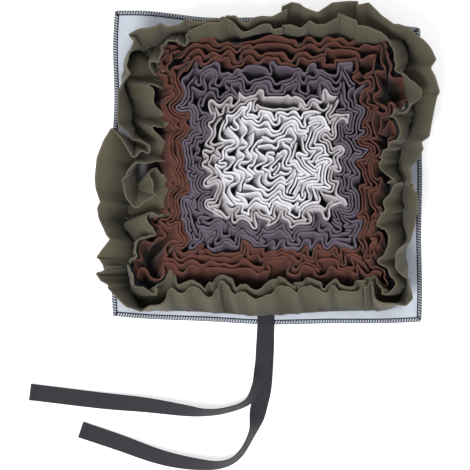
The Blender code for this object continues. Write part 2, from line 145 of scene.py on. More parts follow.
# Webbing ties: along each, the middle's place and how far the flat web is turned on its edge there
WEB_WIDTH = 25.0
WEB = 1.5
HEM = 8.0  # turned over at the free end
TIES = {
    "tie_lower": (
        #   x      y    degrees  lift
        (-1.5, -214.0, 0, 2.4), (-1.5, -228.0, 0, 2.4), (-1.8, -240.0, 0, 0.0), (-2.0, -262.0, 0, 0.0),
        (-3.5, -295.0, 0, 0.0), (-6.0, -325.0, 0, 0.0), (-12.0, -352.0, 2, 0.0),
        (-21.0, -388.0, 62, 0.0), (-42.0, -424.0, 68, 0.0), (-70.0, -437.5, 60, 0.0),
        (-112.0, -435.5, 40, 0.0), (-160.0, -425.5, 24, 0.0), (-221.0, -404.0, 10, 0.0),
        (-276.0, -385.5, 2, 0.0),
    ),
    "tie_upper": (
        (-2.0, -213.0, 0, 4.4), (-2.0, -229.0, 0, 4.4), (-2.6, -242.0, 0, 2.2), (-4.0, -264.0, 0, 2.2),
        (-6.0, -292.0, 2, 2.2), (-13.0, -320.0, 40, 2.4), (-30.0, -345.0, 66, 3.4),
        (-62.0, -357.0, 68, 0.0), (-92.0, -360.0, 62, 0.0), (-122.0, -357.0, 46, 0.0),
        (-180.0, -349.0, 26, 0.0), (-247.0, -342.5, 10, 0.0), (-351.0, -330.0, 2, 0.0),
    ),
}


def shake(number, salt):
    """A repeatable unevenness between -1 and 1."""
    seed = abs(math.sin(number * 12.9898 + salt * 78.233)) * 43758.5453
    return 2.0 * math.modf(seed)[0] - 1.0


def mixed(span, share):
    """The number that lies this share of the way from a span's start to its end."""
    return span[0] + (span[1] - span[0]) * share


def unit(vectors):
    """Vectors scaled to a length of one."""
    return vectors / np.maximum(np.linalg.norm(vectors, axis=-1), TINY)[..., None]


def run_of(line):
    """How far along a line each of its points lies."""
    return np.concatenate([[0.0], np.cumsum(np.linalg.norm(np.diff(line, axis=0), axis=1))])


# Plan of a square ring ------------


def ring_length(half, corner):
    return 4 * (half - corner) + 4 * (half - SHORTER - corner) + 2 * math.pi * corner


def ring_frame(half, corner, place):
    """The point of a rounded square at a place along it, and the outward direction there.

    The place counts anticlockwise from the middle of the lower left corner.
    """
    straights = (2 * (half - corner), 2 * (half - SHORTER - corner)) * 2
    arc = math.pi * corner / 2
    place = (place - arc / 2) % ring_length(half, corner)
    flat_x, flat_y = half - corner, half - SHORTER - corner
    starts = ((-flat_x, -flat_y), (flat_x, -flat_y), (flat_x, flat_y), (-flat_x, flat_y))
    for side, straight in enumerate(straights):
        turn = math.radians(90 * side - 90)
        along = min(place, straight)
        past = min(max(place - straight, 0.0), arc) / corner
        if place <= straight + arc:
            break
        place -= straight + arc
    x = starts[side][0] - math.sin(turn) * along
    y = starts[side][1] + math.cos(turn) * along
    out = (math.cos(turn + past), math.sin(turn + past))
    return (MIDDLE[0] + x + corner * out[0], MIDDLE[1] + y + corner * out[1]), out


def on_ring(half, corner, along, across=0.0):
    """Points that lie across millimetres outside a ring at each place along it."""
    frames = [ring_frame(half, corner, place) for place in along]
    middles = np.array([point for point, _ in frames])
    outs = np.array([out for _, out in frames])
    return middles + outs * np.broadcast_to(across, len(middles))[:, None]


# Folds ------------


def swing_paths():
    """For a range of swings, how an edge runs along and across while it swings out and back."""
    share = (np.arange(SWING_STEPS) + 0.5) / SWING_STEPS
    swings = np.linspace(0.01, MOST_SWING, 120)
    heading = swings[:, None] * np.sin(math.pi * share)
    return np.cumsum(np.cos(heading), axis=1), np.cumsum(np.sin(heading), axis=1)


SWING_ALONG, SWING_ACROSS = swing_paths()


def half_fold(start, end):
    """The sine-generated curve from one turn of a fold to the next, in FINE steps, without its end."""
    advance, rise = end[0] - start[0], end[1] - start[1]
    steepness = SWING_ACROSS[:, -1] / SWING_ALONG[:, -1]
    row = int(np.searchsorted(steepness, min(abs(rise) / advance, steepness[-1])))
    along, across = SWING_ALONG[row], SWING_ACROSS[row]
    picks = np.arange(0, len(along), len(along) // FINE)
    x = np.where(picks > 0, along[picks - 1] / along[-1], 0.0)
    y = np.where(picks > 0, across[picks - 1] / across[-1], 0.0)
    return start[0] + advance * x, start[1] + rise * y


def fold_line(turns):
    """(along, across) of the curve through every turn, with FINE steps between two turns."""
    runs = [half_fold(start, end) for start, end in zip(turns, turns[1:])]
    along = np.concatenate([run[0] for run in runs] + [[turns[-1][0]]])
    across = np.concatenate([run[1] for run in runs] + [[turns[-1][1]]])
    return along, across


def seam_places(turns, picks):
    """The cloth is gathered evenly, so equal lengths of its edge share the seam between two turns."""
    return np.interp(np.array(picks) / FINE, np.arange(len(turns)), [turn[0] for turn in turns])


def curled(points, whirls):
    """Points carried round by whirls, each with its place, its radius and its degrees."""
    for x, y, radius, degrees in whirls:
        away = points - (x, y)
        nearness = np.clip(1 - (away**2).sum(axis=1) / radius**2, 0, None)
        turn = math.radians(degrees) * nearness**2
        cos, sin = np.cos(turn)[:, None], np.sin(turn)[:, None]
        points = (x, y) + cos * away + sin * np.stack([-away[:, 1], away[:, 0]], axis=1)
    return points


def wandered(points):
    """Points carried round by the slow whirls, then combed."""
    points = curled(points - MIDDLE, WHIRLS)
    comb_x = np.interp(points[:, 0], *zip(*COMB_X))
    comb_y = np.interp(points[:, 1], *zip(*COMB_Y))
    return points + MIDDLE + np.stack([comb_x, comb_y], axis=1)


def outward(line):
    """Unit vectors to the right of a line in plan, which is outward on a ring run anticlockwise."""
    ahead = unit(np.gradient(line, axis=0))
    return np.stack([ahead[:, 1], -ahead[:, 0]], axis=1)


def drooping_leaf(roots, edges, leaf, levels):
    """Middle surface of a leaf that is a constant length from seam to free edge, as rows of points.

    The further it reaches the lower its edge lies, and a far reach makes it droop in a round bend.
    """
    out = outward(roots)
    ahead = np.stack([-out[:, 1], out[:, 0]], axis=1)
    reach = ((edges - roots) * out).sum(axis=1)
    slip = ((edges - roots) * ahead).sum(axis=1)
    length = np.sqrt(leaf**2 - slip**2)
    bend = MOST_BEND * np.tanh(reach / EASY_REACH * np.abs(reach / EASY_REACH))
    sine = reach / length / np.sinc(bend / 2 / math.pi)
    lean = np.arcsin(np.clip(sine, -MOST_LEAN_SINE, MOST_LEAN_SINE)) - bend / 2
    rows = []
    for level in np.linspace(0, 1, levels + 1):
        run = length * level * np.sinc(bend * level / 2 / math.pi)
        tilt = lean + bend * level / 2
        place = roots + out * (run * np.sin(tilt))[:, None] + ahead * (slip * level)[:, None]
        rows.append(np.column_stack([place, FELT + SEAM_GAP + run * np.cos(tilt)]))
    return np.array(rows)


def far_leaf(roots, edges, leaf, levels):
    """Middle surface of an olive strip's inner leaf, which arches over where its free edge lies far out."""
    near = drooping_leaf(roots, edges, leaf, levels)
    reach = np.linalg.norm(edges - roots, axis=1)
    rise = np.sqrt(np.maximum(leaf**2 - reach**2, LEAST_RISE**2))
    rows = []
    for share in np.linspace(0, 1, levels + 1):
        arch = share * (1 - share)
        plan = roots + (edges - roots) * (share - ARCH_IN * arch)
        rows.append(np.column_stack([plan, FELT + SEAM_GAP + rise * (share + ARCH_UP * arch)]))
    blend = np.clip((reach - FAR_REACH[0]) / (FAR_REACH[1] - FAR_REACH[0]), 0.0, 1.0)
    blend = (blend**2 * (3 - 2 * blend))[None, :, None]
    return near * (1 - blend) + np.array(rows) * blend


def corner_room(half, corner, along):
    """From 0 on the straights to 1 round the corners, where neighbouring seams are further apart."""
    quarters = [ring_length(half, corner) * share for share in (0.0, 0.5, 1.0)]
    quarters += [2 * (half - corner) + math.pi * corner / 2 + start for start in quarters[:2]]
    away = np.min([np.abs(along - place) for place in quarters], axis=0)
    return np.clip(CORNER_REACH - away / corner, 0.0, 1.0)


def side_turns(salt):
    """Turns of the folds on one side of the mat, uneven and alternating outward and inward.

    They count from the side's middle. All strips of the side share them, so that neighbouring folds
    nest in one another. A long fold is deeper than a short one.
    """
    numbers = range(2 * FOLDS_OUT)
    folds = [FOLD * math.exp(UNEVEN_FOLD * shake(number, salt + 3)) for number in numbers]
    places = np.concatenate([[0.0], np.cumsum(folds)])
    places -= places[FOLDS_OUT]
    turns = []
    for number in range(1, 2 * FOLDS_OUT):
        longer, shorter = max(folds[number - 1:number + 1]), min(folds[number - 1:number + 1])
        depth = STEEPEST / 2 * (longer + 3 * shorter) / 4
        depth *= 1 - UNEVEN_DEPTH * abs(shake(number, salt + 11))
        turns.append((float(places[number]), (-1) ** number * depth))
    return turns


def folded(points):
    """Points moved outward and inward by the folds of the side they lie on, less near the diagonals."""
    x, y = (points - MIDDLE).T
    far_x, far_y = np.abs(x), np.abs(y) + SHORTER
    lean = np.sin(math.pi / 2 * np.clip((far_y - far_x) / BLEND, -1, 1)) / 2
    share_x, share_y = (0.5 - lean) ** DIAGONAL_POWER, (0.5 + lean) ** DIAGONAL_POWER
    depth = np.interp(np.maximum(far_x, far_y), *zip(*DEPTHS))
    bottom, right, top, left = (fold_line(side_turns(salt)) for salt in range(4))
    move_x = np.where(x > 0, np.interp(y, *right), -np.interp(-y, *left))
    move_y = np.where(y > 0, np.interp(-x, *top), -np.interp(x, *bottom))
    return points + np.column_stack([move_x * share_x, move_y * share_y]) * depth[:, None]


def felt_outline():
    corners = np.array(FELT_CORNERS)
    points = []
    for side, start in enumerate(corners):
        edge = corners[(side + 1) % 4] - start
        out = np.array([edge[1], -edge[0]]) / np.linalg.norm(edge)
        for share in np.arange(FELT_EDGE_STEPS) / FELT_EDGE_STEPS:
            stray = FELT_SAG[side] * math.sin(math.pi * share)
            stray += FELT_RIPPLE[side] * math.sin(2 * math.pi * FELT_RIPPLE_WAVES * share)
            points.append(start + edge * share + out * stray)
    return np.array(points)


# Free edges that grow ------------

EDGE_STEP = 2.0  # between two points of an edge before it grows
OLIVE_STEP = 3.8
ROOM = 4.6  # between the middles of two edges
GROWTH = {
    "brown_1": 1.2, "brown_2": 1.25, "purple_1": 1.38, "purple_2": 1.5, "grey_1": 1.7,
    "white_1": 1.6, "white_2": 1.5, "white_3": 1.45, "white_4": 1.4,
}
ZIGZAG = {"lower": 4.5, "right": 8.0, "left": 8.0}
# Where an olive leaf (0 outer, 1 inner) lies over itself: from and to along the ring, then its edge's
# turns in plan
LAID_OVER = (
    ("left", 0, 1258, 1362, (
        (-220, 84), (-220, 66), (-196, 45), (-170, 26), (-183, 20), (-198, 17), (-215, 44), (-229, 60),
        (-241, 41), (-251, 16), (-254, -14),
    )),
    ("left", 1, 962, 1236, (
        (4, 209), (-18, 205), (-38, 203), (-49, 215), (-62, 222), (-86, 218), (-103, 208), (-118, 188),
        (-127, 185), (-133, 194), (-142, 184), (-161, 174), (-170, 162), (-162, 147), (-142, 141),
        (-134, 131), (-143, 124), (-158, 131), (-168, 115),
    )),
    ("left", 1, 1236, 1560, (
        (-170, 107), (-149, 76), (-158, 56), (-139, 13), (-149, 8), (-170, 8), (-187, 11), (-201, 3),
        (-214, -18), (-207, -45), (-187, -65), (-177, -42), (-173, -17), (-158, -8), (-137, -25),
        (-140, -53), (-156, -62), (-173, -90), (-186, -117), (-193, -129), (-196, -140),
    )),
    ("lower", 1, -80, 62, (
        (-198, -142), (-198, -152), (-195, -164), (-185, -171), (-177, -182), (-165, -185), (-158, -176),
        (-151, -157), (-143, -154),
    )),
    ("lower", 0, 436, 572, (
        (199, -161), (187, -142), (189, -123), (208, -108), (221, -64), (220, -40), (212, -22),
    )),
    ("lower", 1, 436, 572, (
        (168, -146), (175, -123), (178, -107), (159, -84), (167, -45), (186, -31), (198, -22),
    )),
    ("right", 1, 576, 806, (
        (187, -17), (167, 3), (153, 13), (162, 25), (189, 39), (193, 57), (180, 70), (203, 87), (226, 104),
        (227, 116), (205, 132), (187, 144), (187, 165), (177, 183),
    )),
)
# Where the outer leaf of an inner strip lies far from its seam's line: strip, side, its edge's turns
STRAYING = (
    ("brown_1", 1, (
        (165, 16), (181, 34), (186, 48), (180, 60), (167, 60), (159, 67), (172, 78), (193, 91), (214, 106),
        (217, 116), (209, 125), (192, 131), (184, 144), (183, 159), (175, 168),
    )),
    ("brown_1", 3, (
        (-134, -24), (-128, -36), (-131, -51), (-151, -56), (-156, -65), (-158, -79), (-167, -98),
        (-173, -110), (-183, -118), (-189, -129), (-192, -140), (-192, -151),
    )),
    ("brown_1", 0, (
        (-190, -157), (-179, -158), (-165, -151), (-149, -145),
    )),
    ("brown_1", 1, (
        (164, -176), (171, -171), (167, -161), (156, -146), (153, -136), (164, -121), (164, -111),
        (150, -99), (150, -87), (161, -68),
    )),
    ("brown_1", 2, (
        (57, 180), (43, 187), (25, 193), (7, 196), (-13, 191), (-31, 185), (-46, 183), (-61, 185),
        (-78, 190), (-93, 193), (-106, 191),
    )),
)
STRIP_END = 8  # points
NOTCHES = ((122, 6), (152, 5), (234, 9), (334, 10))  # in the lower strip's edges: place along, depth
NOTCH_HALF_WIDTH = 5.0
OVERLAP = 2.5  # of an olive strip's end beyond its solid's, so that its neighbour's fleece closes on it
ZIGZAG_SPOT = (0.5, 0.25)  # where between two folds the turn added lies, and how far it strays
SEAM_BEYOND, SEAM_SEARCH = 30.0, 2.0  # the seam's points tried: how far past the strip, how far apart
SEAM_SMOOTH = 6  # points to either side
SEAM_STEP = 0.02  # at least, from one point's place on the seam to the next one's
EVEN_SHARE = 0.2  # of evenly gathered cloth, against cloth sewn at the nearest place
STEPS = 900
GROWING = 0.65  # share of the steps over which the edges get longer
UNEVEN_GROWTH = 0.55
PULL, PUSH, HOLLOW_PUSH = 0.32, 0.28, 0.5  # to an edge's own length, off other edges, out of hollows
PAIRS_EVERY, PAIRS_BEYOND = 4, 1.6  # steps between two searches for neighbours, and how far past ROOM
OWN_NEIGHBOURS = 4  # points along the same edge that aren't pushed away
HOLLOWS_EVERY, HOLLOWS_BEYOND = 10, 4
LONGEST_STEP = 0.35
FURTHEST = 16.0
STIFF = 0.05
HOMING, TETHER = 0.0035, 0.1  # pull towards the start, and more of it beyond FURTHEST
SEED = 7
DRIFT = 1.5  # random shift before the first step

# Places that the free edges leave open: x, y, radius along x and along y
HOLLOWS = (
    (-131, 168, 10, 6), (-114, 69, 5, 6), (-130, 103, 5, 6),
    (63, 178, 11, 6), (95, 146, 13, 8), (121, 146, 10, 6), (178, 122, 6, 10),
    (169, 87, 8, 6), (84, 93, 8, 7), (-60, 50, 6, 9), (-5, -61, 8, 8), (15, -62, 6, 7),
    (48, 36, 6, 7), (130, -20, 7, 9), (57, -67, 5, 6), (-24, -42, 5, 6), (-182, -121, 7, 5),
    (-28, -141, 5, 5), (-156, -105, 6, 5), (161, -43, 5, 6), (139, -141, 6, 6), (170, -110, 5, 7),
    (-140, -122, 5, 4), (4, 30, 6, 6), (-12, 12, 6, 5), (16, 97, 38, 10), (-24, 54, 5, 22),
    (-18, 142, 20, 11), (24, 140, 20, 12), (70, 118, 9, 12), (-55, -118, 24, 6),
    (10, -100, 26, 5), (60, -98, 20, 6), (-90, -150, 30, 5), (20, -138, 26, 5), (90, -136, 26, 5),
    (8, 178, 30, 7), (110, 168, 26, 8), (160, 70, 7, 22), (158, 0, 6, 22), (-133, 30, 5, 16),
)
# Places where the free edges run smoothly: x, y, radius along x and along y
CALM = (
    (18, 104, 46, 18), (5, 138, 48, 18), (-20, 190, 70, 16), (60, 178, 50, 14), (-85, -128, 60, 14),
    (-60, -150, 70, 12), (150, -60, 14, 40), (165, 40, 14, 34), (-22, 54, 12, 34),
)


def resampled(line, step):
    """A line in plan at even steps, and where each new point lies among the old ones."""
    run = run_of(line)
    count = max(int(round(run[-1] / step)), 4)
    even = np.linspace(0.0, run[-1], count + 1)
    spots = np.interp(even, run, np.arange(len(line)))
    return np.column_stack([np.interp(even, run, line[:, 0]), np.interp(even, run, line[:, 1])]), spots


def near_pairs(points, reach):
    """Every two points that are nearer than reach."""
    cell = np.floor(points / reach).astype(np.int64)
    cell -= cell.min(axis=0) - 1
    wide = cell[:, 1].max() + 3
    key = cell[:, 0] * wide + cell[:, 1]
    order = np.argsort(key, kind="stable")
    sorted_key = key[order]
    first, second = [], []
    for shift in (0, 1, wide - 1, wide, wide + 1):
        low = np.searchsorted(sorted_key, key + shift, "left")
        high = np.searchsorted(sorted_key, key + shift, "right")
        counts = high - low
        owner = np.repeat(np.arange(len(points)), counts)
        offset = np.arange(counts.sum()) - np.repeat(np.cumsum(counts) - counts, counts)
        other = order[low[owner] + offset]
        if shift == 0:
            keep = owner < other
            owner, other = owner[keep], other[keep]
        first.append(owner)
        second.append(other)
    first, second = np.concatenate(first), np.concatenate(second)
    near = ((points[first] - points[second]) ** 2).sum(axis=1) < reach**2
    return first[near], second[near]


# Small whirls over the inner strips, and larger ones along the olive strips: radii and degrees, from and to
CURL_ROWS = 8  # to either side of the middle
CURL_GRID = 25.0
CURL_STRAY = 0.45
CURL_END = (204, 30)  # from the middle to where they end, and over how far they fade
FAINTEST = 0.05
CURL_RADIUS = (15.0, 32.0)
CURL_TURN = (25.0, 80.0)
FOLD_SHARE = 0.35  # of the solids' folds, before the curls
OLIVE_CURLS = 26
OLIVE_CURL_RADIUS = (22.0, 46.0)
OLIVE_CURL_TURN = (20.0, 62.0)
OLIVE_CURL_STRAY = (0.35, 34.0)  # share of the way to the next one, and across the seam
OLIVE_CURL_INWARD = 6.0
OLIVE_CURL_SHARES = (0.5, 0.3)  # of the turn: along the right and left strips, along the lower one
LOWER_SIDE = -150  # Y below which the olive square belongs to the lower strip
CORE = 1.6  # how steeply a spot's effect rises from its rim

# How far the free edges lean off their solids' places: a place across the mat, then the shift there
LEAN = {
    "left": ((-204, 0), (-187, 7), (-161, 14), (-135, 4), (-106, -10), (-90, -13), (-62, -13), (-40, -6),
             (-15, 0)),
    "right": ((120, 0), (150, -3), (178, -8), (190, -6), (204, 0)),
    "lower": ((-204, 0), (-190, 6), (-175, 9), (-160, 6), (-130, 2), (-110, 0)),
    "upper": ((140, 0), (170, 4), (187, 8), (200, 0), (207, -3), (225, 0)),
}
# Where the inner strips' edges are moved: place, radius, how far right and up
PUSHES = (
    (200, 108, 68, 38, 1), (190, 48, 42, 12, 0), (166, 168, 46, 14, 12), (-160, 160, 36, -11, 8),
    (-178, -130, 62, -34, -4), (176, -160, 46, 15, -9), (-152, 20, 62, 9, 0), (184, -20, 34, 6, 0),
    (-110, 62, 34, 13, 0), (-122, 103, 32, -9, 0), (-118, 28, 30, -12, 3), (-110, -36, 32, 12, 0),
    (-120, -68, 30, -11, -2),
)
LEAN_END = (180.0, 50.0)  # from the middle to where a side's lean ends, and over how far it fades


def leant(points):
    """Points moved by the lean of the side that they are on."""
    moved = np.zeros_like(points)
    for side, table in LEAN.items():
        axis = 0 if side in ("left", "right") else 1
        places, shifts = np.array(table, float).T
        reach = np.clip((LEAN_END[0] - np.abs(points[:, 1 - axis])) / LEAN_END[1], 0, 1)
        moved[:, axis] += reach * np.interp(points[:, axis], places, shifts, left=0, right=0)
    return points + moved


def curls():
    """Places, radii and turns of small whirls over the inner strips."""
    found = []
    for row in range(-CURL_ROWS, CURL_ROWS + 1):
        for column in range(-CURL_ROWS, CURL_ROWS + 1):
            number = row * 31 + column * 17 + 900
            x = (column + CURL_STRAY * shake(number, 1)) * CURL_GRID
            y = (row + CURL_STRAY * shake(number, 2)) * CURL_GRID
            radius = mixed(CURL_RADIUS, abs(shake(number, 4)))
            degrees = mixed(CURL_TURN, abs(shake(number, 5))) * math.copysign(1.0, shake(number, 6))
            room = 1 - float(within(CALM, np.array([[x, y]]))[0])
            edge = min(1.0, max(0.0, (CURL_END[0] - max(abs(x), abs(y))) / CURL_END[1]))
            if room * edge > FAINTEST:
                found.append((x, y, radius, degrees * room * edge))
    return found


def olive_curls():
    """Places, radii and turns of larger whirls along the olive strips, weaker along the lower one."""
    half, corner = OLIVE["half"], OLIVE["corner"]
    apart = ring_length(half, corner) / OLIVE_CURLS
    found = []
    for number in range(OLIVE_CURLS):
        along = np.array([(number + OLIVE_CURL_STRAY[0] * shake(number, 31)) * apart])
        across = np.array([OLIVE_CURL_STRAY[1] * shake(number, 32) - OLIVE_CURL_INWARD])
        x, y = on_ring(half, corner, along, across)[0]
        radius = mixed(OLIVE_CURL_RADIUS, abs(shake(number, 33)))
        degrees = mixed(OLIVE_CURL_TURN, abs(shake(number, 34))) * OLIVE_CURL_SHARES[int(y < LOWER_SIDE)]
        found.append((x, y, radius, degrees * (1 if number % 2 else -1)))
    return found


def pushed(points):
    """Points of the inner strips' edges moved by the pushes near them."""
    for x, y, radius, right, up in PUSHES:
        nearness = np.clip(1 - ((points - (x, y))**2).sum(axis=1) / radius**2, 0, None) ** 2
        points = points + nearness[:, None] * (right, up)
    return points


def within(spots, points):
    """From 0 outside all of the spots to 1 in the middle of one."""
    found = np.zeros(len(points))
    for x, y, wide, high in spots:
        away = np.linalg.norm((points - (x, y)) / (wide, high), axis=1)
        found = np.maximum(found, np.clip(CORE * (1 - away), 0, 1))
    return found


ALL_CURLS = curls() + olive_curls()


def grown(lines, factors):
    """The lines after they have grown by their factors, clear of one another and of the hollows."""
    sizes = [len(line) for line in lines]
    points = np.vstack(lines)
    home = points.copy()
    owner = np.repeat(np.arange(len(sizes)), sizes)
    near = np.flatnonzero(owner[:-1] == owner[1:])
    far = near + 1
    rest = np.linalg.norm(points[far] - points[near], axis=1)
    x, y = home[near].T
    uneven = 1 + UNEVEN_GROWTH * np.sin(x / 19.0 + 1.3 * np.sin(y / 23.0)) * np.cos(y / 21.0 + 0.8)
    target = np.repeat(factors, np.array(sizes) - 1)
    target = 1 + (target - 1) * uneven * (1 - within(CALM, home[near]))
    middle = np.flatnonzero(owner[:-4] == owner[4:]) + 2
    stiff = np.repeat([STIFF if factor != 1 else 0.0 for factor in factors], sizes)
    drift = np.random.default_rng(SEED).normal(size=points.shape)
    for _ in range(3):
        drift[1:-1] = (drift[:-2] + drift[1:-1] + drift[2:]) / 3
    points += DRIFT * (drift * (stiff > 0)[:, None])
    for step in range(STEPS):
        if step % PAIRS_EVERY == 0:
            first, second = near_pairs(points, ROOM + PAIRS_BEYOND)
            apart = (owner[first] != owner[second]) | (np.abs(first - second) > OWN_NEIGHBOURS)
            first, second = first[apart], second[apart]
        grow = min(1.0, step / (GROWING * STEPS))
        move = np.zeros_like(points)
        link = points[far] - points[near]
        length = np.linalg.norm(link, axis=1)
        pull = link * (PULL * (1 - rest * (1 + (target - 1) * grow) / length))[:, None]
        np.add.at(move, near, pull)
        np.add.at(move, far, -pull)
        bend = (points[middle - 2] - 4 * points[middle - 1] + 6 * points[middle]
                - 4 * points[middle + 1] + points[middle + 2])
        move[middle] -= stiff[middle][:, None] * bend
        gap = points[second] - points[first]
        distance = np.linalg.norm(gap, axis=1) + TINY
        push = gap * (PUSH * np.clip(ROOM - distance, 0, None) / distance)[:, None]
        np.add.at(move, first, -push)
        np.add.at(move, second, push)
        away = points - home
        too_far = np.clip(np.linalg.norm(away, axis=1) / FURTHEST - 1, 0, None)
        move -= away * (HOMING + TETHER * too_far)[:, None]
        if step % HOLLOWS_EVERY == 0:
            inside = [np.flatnonzero((np.abs(points - hollow[:2]) < np.add(hollow[2:], HOLLOWS_BEYOND))
                                     .all(axis=1)) for hollow in HOLLOWS]
        for (x, y, wide, high), spots in zip(HOLLOWS, inside):
            away = (points[spots] - (x, y)) / (wide, high)
            off = np.linalg.norm(away, axis=1) + TINY
            move[spots] += away * (np.clip(1 - off, 0, None) / off)[:, None] * HOLLOW_PUSH
        size = np.linalg.norm(move, axis=1)
        move *= np.minimum(1.0, LONGEST_STEP / np.maximum(size, TINY))[:, None]
        points += move
    return np.split(points, np.cumsum(sizes)[:-1])


def smoothed(values, steps):
    """Rows with so many steps between two, on a curve through each (Catmull-Rom)."""
    values = np.asarray(values, float)
    padded = np.concatenate([[2 * values[0] - values[1]], values, [2 * values[-1] - values[-2]]])
    before, start, end, after = padded[:-3], padded[1:-2], padded[2:-1], padded[3:]
    found = []
    for share in np.arange(steps) / steps:
        found.append(0.5 * (2 * start + (end - before) * share
                            + (2 * before - 5 * start + 4 * end - after) * share**2
                            + (3 * start - before - 3 * end + after) * share**3))
    rows = np.stack(found, axis=1).reshape(-1, *values.shape[1:])
    return np.concatenate([rows, values[-1:]])


# Leaves ------------

FLEECE = 2.8  # thick
OLIVE_ROWS = 11  # steps from the seam to the free edge
INNER_ROWS = 9  # rows from the seam to the free edge
LEAF_LEVELS = (0.0, 0.16, 0.34, 0.52, 0.70, 0.86)
OLIVE_FINE_LEVELS = (0.0, 0.08, 0.18, 0.30, 0.43, 0.56, 0.69, 0.81, 0.91)
# How the free edge is rounded: thicknesses below it, and the share of the half thickness there
RIM = ((1.0, 0.96), (0.45, 0.80), (0.12, 0.45), (0.0, 0.0))
RIM_LIGHT, RIM_FALL = 0.25, 0.35  # its mark where the rounding starts, and how fast it falls below the edge; the rim mark sets the cut edge's painted highlight
SWAY_WAVES = (24.0, 1.6, 59.0)  # along the seam: length, how unevenly they come, over what length
SWAY_RISE = 0.22  # of the leaf, from the seam to where the sway is full
# Inner leaves keep their length as their edges move: the least height as a share of the solid's, the
# most rise, and how much of the change they take
LEAST_HEIGHT, MOST_RISE, SETTLED = 0.7, 5.0, 0.75
LEAF_GAP = 0.1  # between the feet of the two leaves
LEAF_HOLLOW = 0.2  # how much an inner leaf curves in below its edge
ARCH_IN, ARCH_UP = 0.35, 0.45  # of a leaf that arches over, halfway up
LEAST_RISE = 34.0  # of an edge above its seam, where an inner leaf lies over the strips beside it
FAR_REACH = (28.0, 46.0)  # where a leaf begins to arch over, and where it does so fully
OLIVE_REACH = 0.97  # the furthest that a free edge lies from its seam in plan, as a share of the leaf
# Creases: how deep and how far apart, and how soon they fade above the seam
OLIVE_CREASES = ((3.6, 25.0, 0.6), (1.5, 9.5, 2.6))
BROWN_CREASES = ((1.1, 21.0, 0.8),)
CREASE_DEPTH, CREASE_APART = (0.3, 0.7), (0.35, 1.2)  # least share of each, and how much more at most
CREASE_SLANT, SLANT_WAVE = 9.0, 37.0
CREASE_RISE = 8.0  # how fast a crease grows above the seam
SEAM_SWAY = {"lower": 3.0, "right": 13.0, "left": 15.0}  # how far two leaves lean together over their seam
SEAM_SAG = (-8.0, 85.0, 7.0)  # the lower strip's seam hangs out by the ties: middle, half width, how far


def normals_of(surface):
    return unit(np.cross(np.gradient(surface, axis=1), np.gradient(surface, axis=0)))


def creased(surface, run, creases, seed):
    """A leaf's rows with facets whose creases run from the seam towards the free edge."""
    normal = normals_of(surface)
    moved = surface.copy()
    for depth, apart, fade in creases:
        spots, sizes, spot, number = [], [], -2 * apart, seed
        while spot < run[-1] + 2 * apart:
            spots.append(spot)
            size = CREASE_DEPTH[0] + CREASE_DEPTH[1] * abs(shake(number, 8))
            sizes.append((1 if number % 2 else -1) * depth * size)
            spot += apart * (CREASE_APART[0] + CREASE_APART[1] * abs(shake(number, 9)))
            number += 1
        for row, share in enumerate(np.linspace(0, 1, len(surface))):
            slant = CREASE_SLANT * (share - 0.5) * np.sin(run / SLANT_WAVE + seed)
            push = np.interp(run + slant, spots, sizes)
            profile = min(1.0, CREASE_RISE * share) * (1 - share) ** fade
            moved[row] += normal[row] * (push * profile)[:, None]
    return moved


FLIPPED = [0, 3, 2, 1]  # a quad's corners the other way round


def skin(loops, sides):
    """Quads between closed loops that have so many points each."""
    row, corner = np.arange(loops - 1)[:, None] * sides, np.arange(sides)
    after = (corner + 1) % sides
    quads = np.stack([row + corner, row + after, row + sides + after, row + sides + corner], axis=2)
    return quads.reshape(-1, 4)


def leaf_mesh(surface, levels, height, along):
    """A leaf's closed mesh from the rows of its middle surface up to the free edge.

    Returns points, faces, for each point how high it is from the seam (0 to 1) and how near the cut
    edge, and its place on the flat cloth.
    """
    def at(rows, share):
        spot = share * (len(rows) - 1)
        low = min(int(spot), len(rows) - 2)
        return rows[low] + (rows[low + 1] - rows[low]) * (spot - low)

    normal = normals_of(surface)
    count = surface.shape[1]
    # Up the outer face, round the free edge and down the inner face
    face = [(share, 1.0, 0.0) for share in levels]
    face += [(1 - below * FLEECE / height, share, 1.0 - below * RIM_FALL if below < 1 else RIM_LIGHT)
             for below, share in RIM]
    section = [(1, *level) for level in face] + [(-1, *level) for level in face[-2::-1]]
    loops = [at(surface, share) + way * at(normal, share) * wide * FLEECE / 2
             for way, share, wide, _ in section]
    heights, edges = [level[1] for level in section], [level[3] for level in section]
    rows = len(loops)
    points = np.array(loops).transpose(1, 0, 2).reshape(-1, 3)
    caps = []
    for number in range((rows - 1) // 2):
        mirrored = rows - 1 - number
        if number + 1 < mirrored - 1:
            caps.append((number, number + 1, mirrored - 1, mirrored))
        else:
            caps.append((number, number + 1, mirrored))
    last = (count - 1) * rows
    ends = [tuple(reversed(cap)) for cap in caps] + [tuple(last + corner for corner in cap) for cap in caps]
    flat = np.stack(np.broadcast_arrays(along[:, None], np.array(heights)[None, :] * height), axis=2)
    marks = np.broadcast_to(np.array([heights, edges]).T, (count, rows, 2)).reshape(-1, 2)
    return points, skin(count, rows)[:, ::-1].tolist() + ends, marks, flat.reshape(-1, 2)


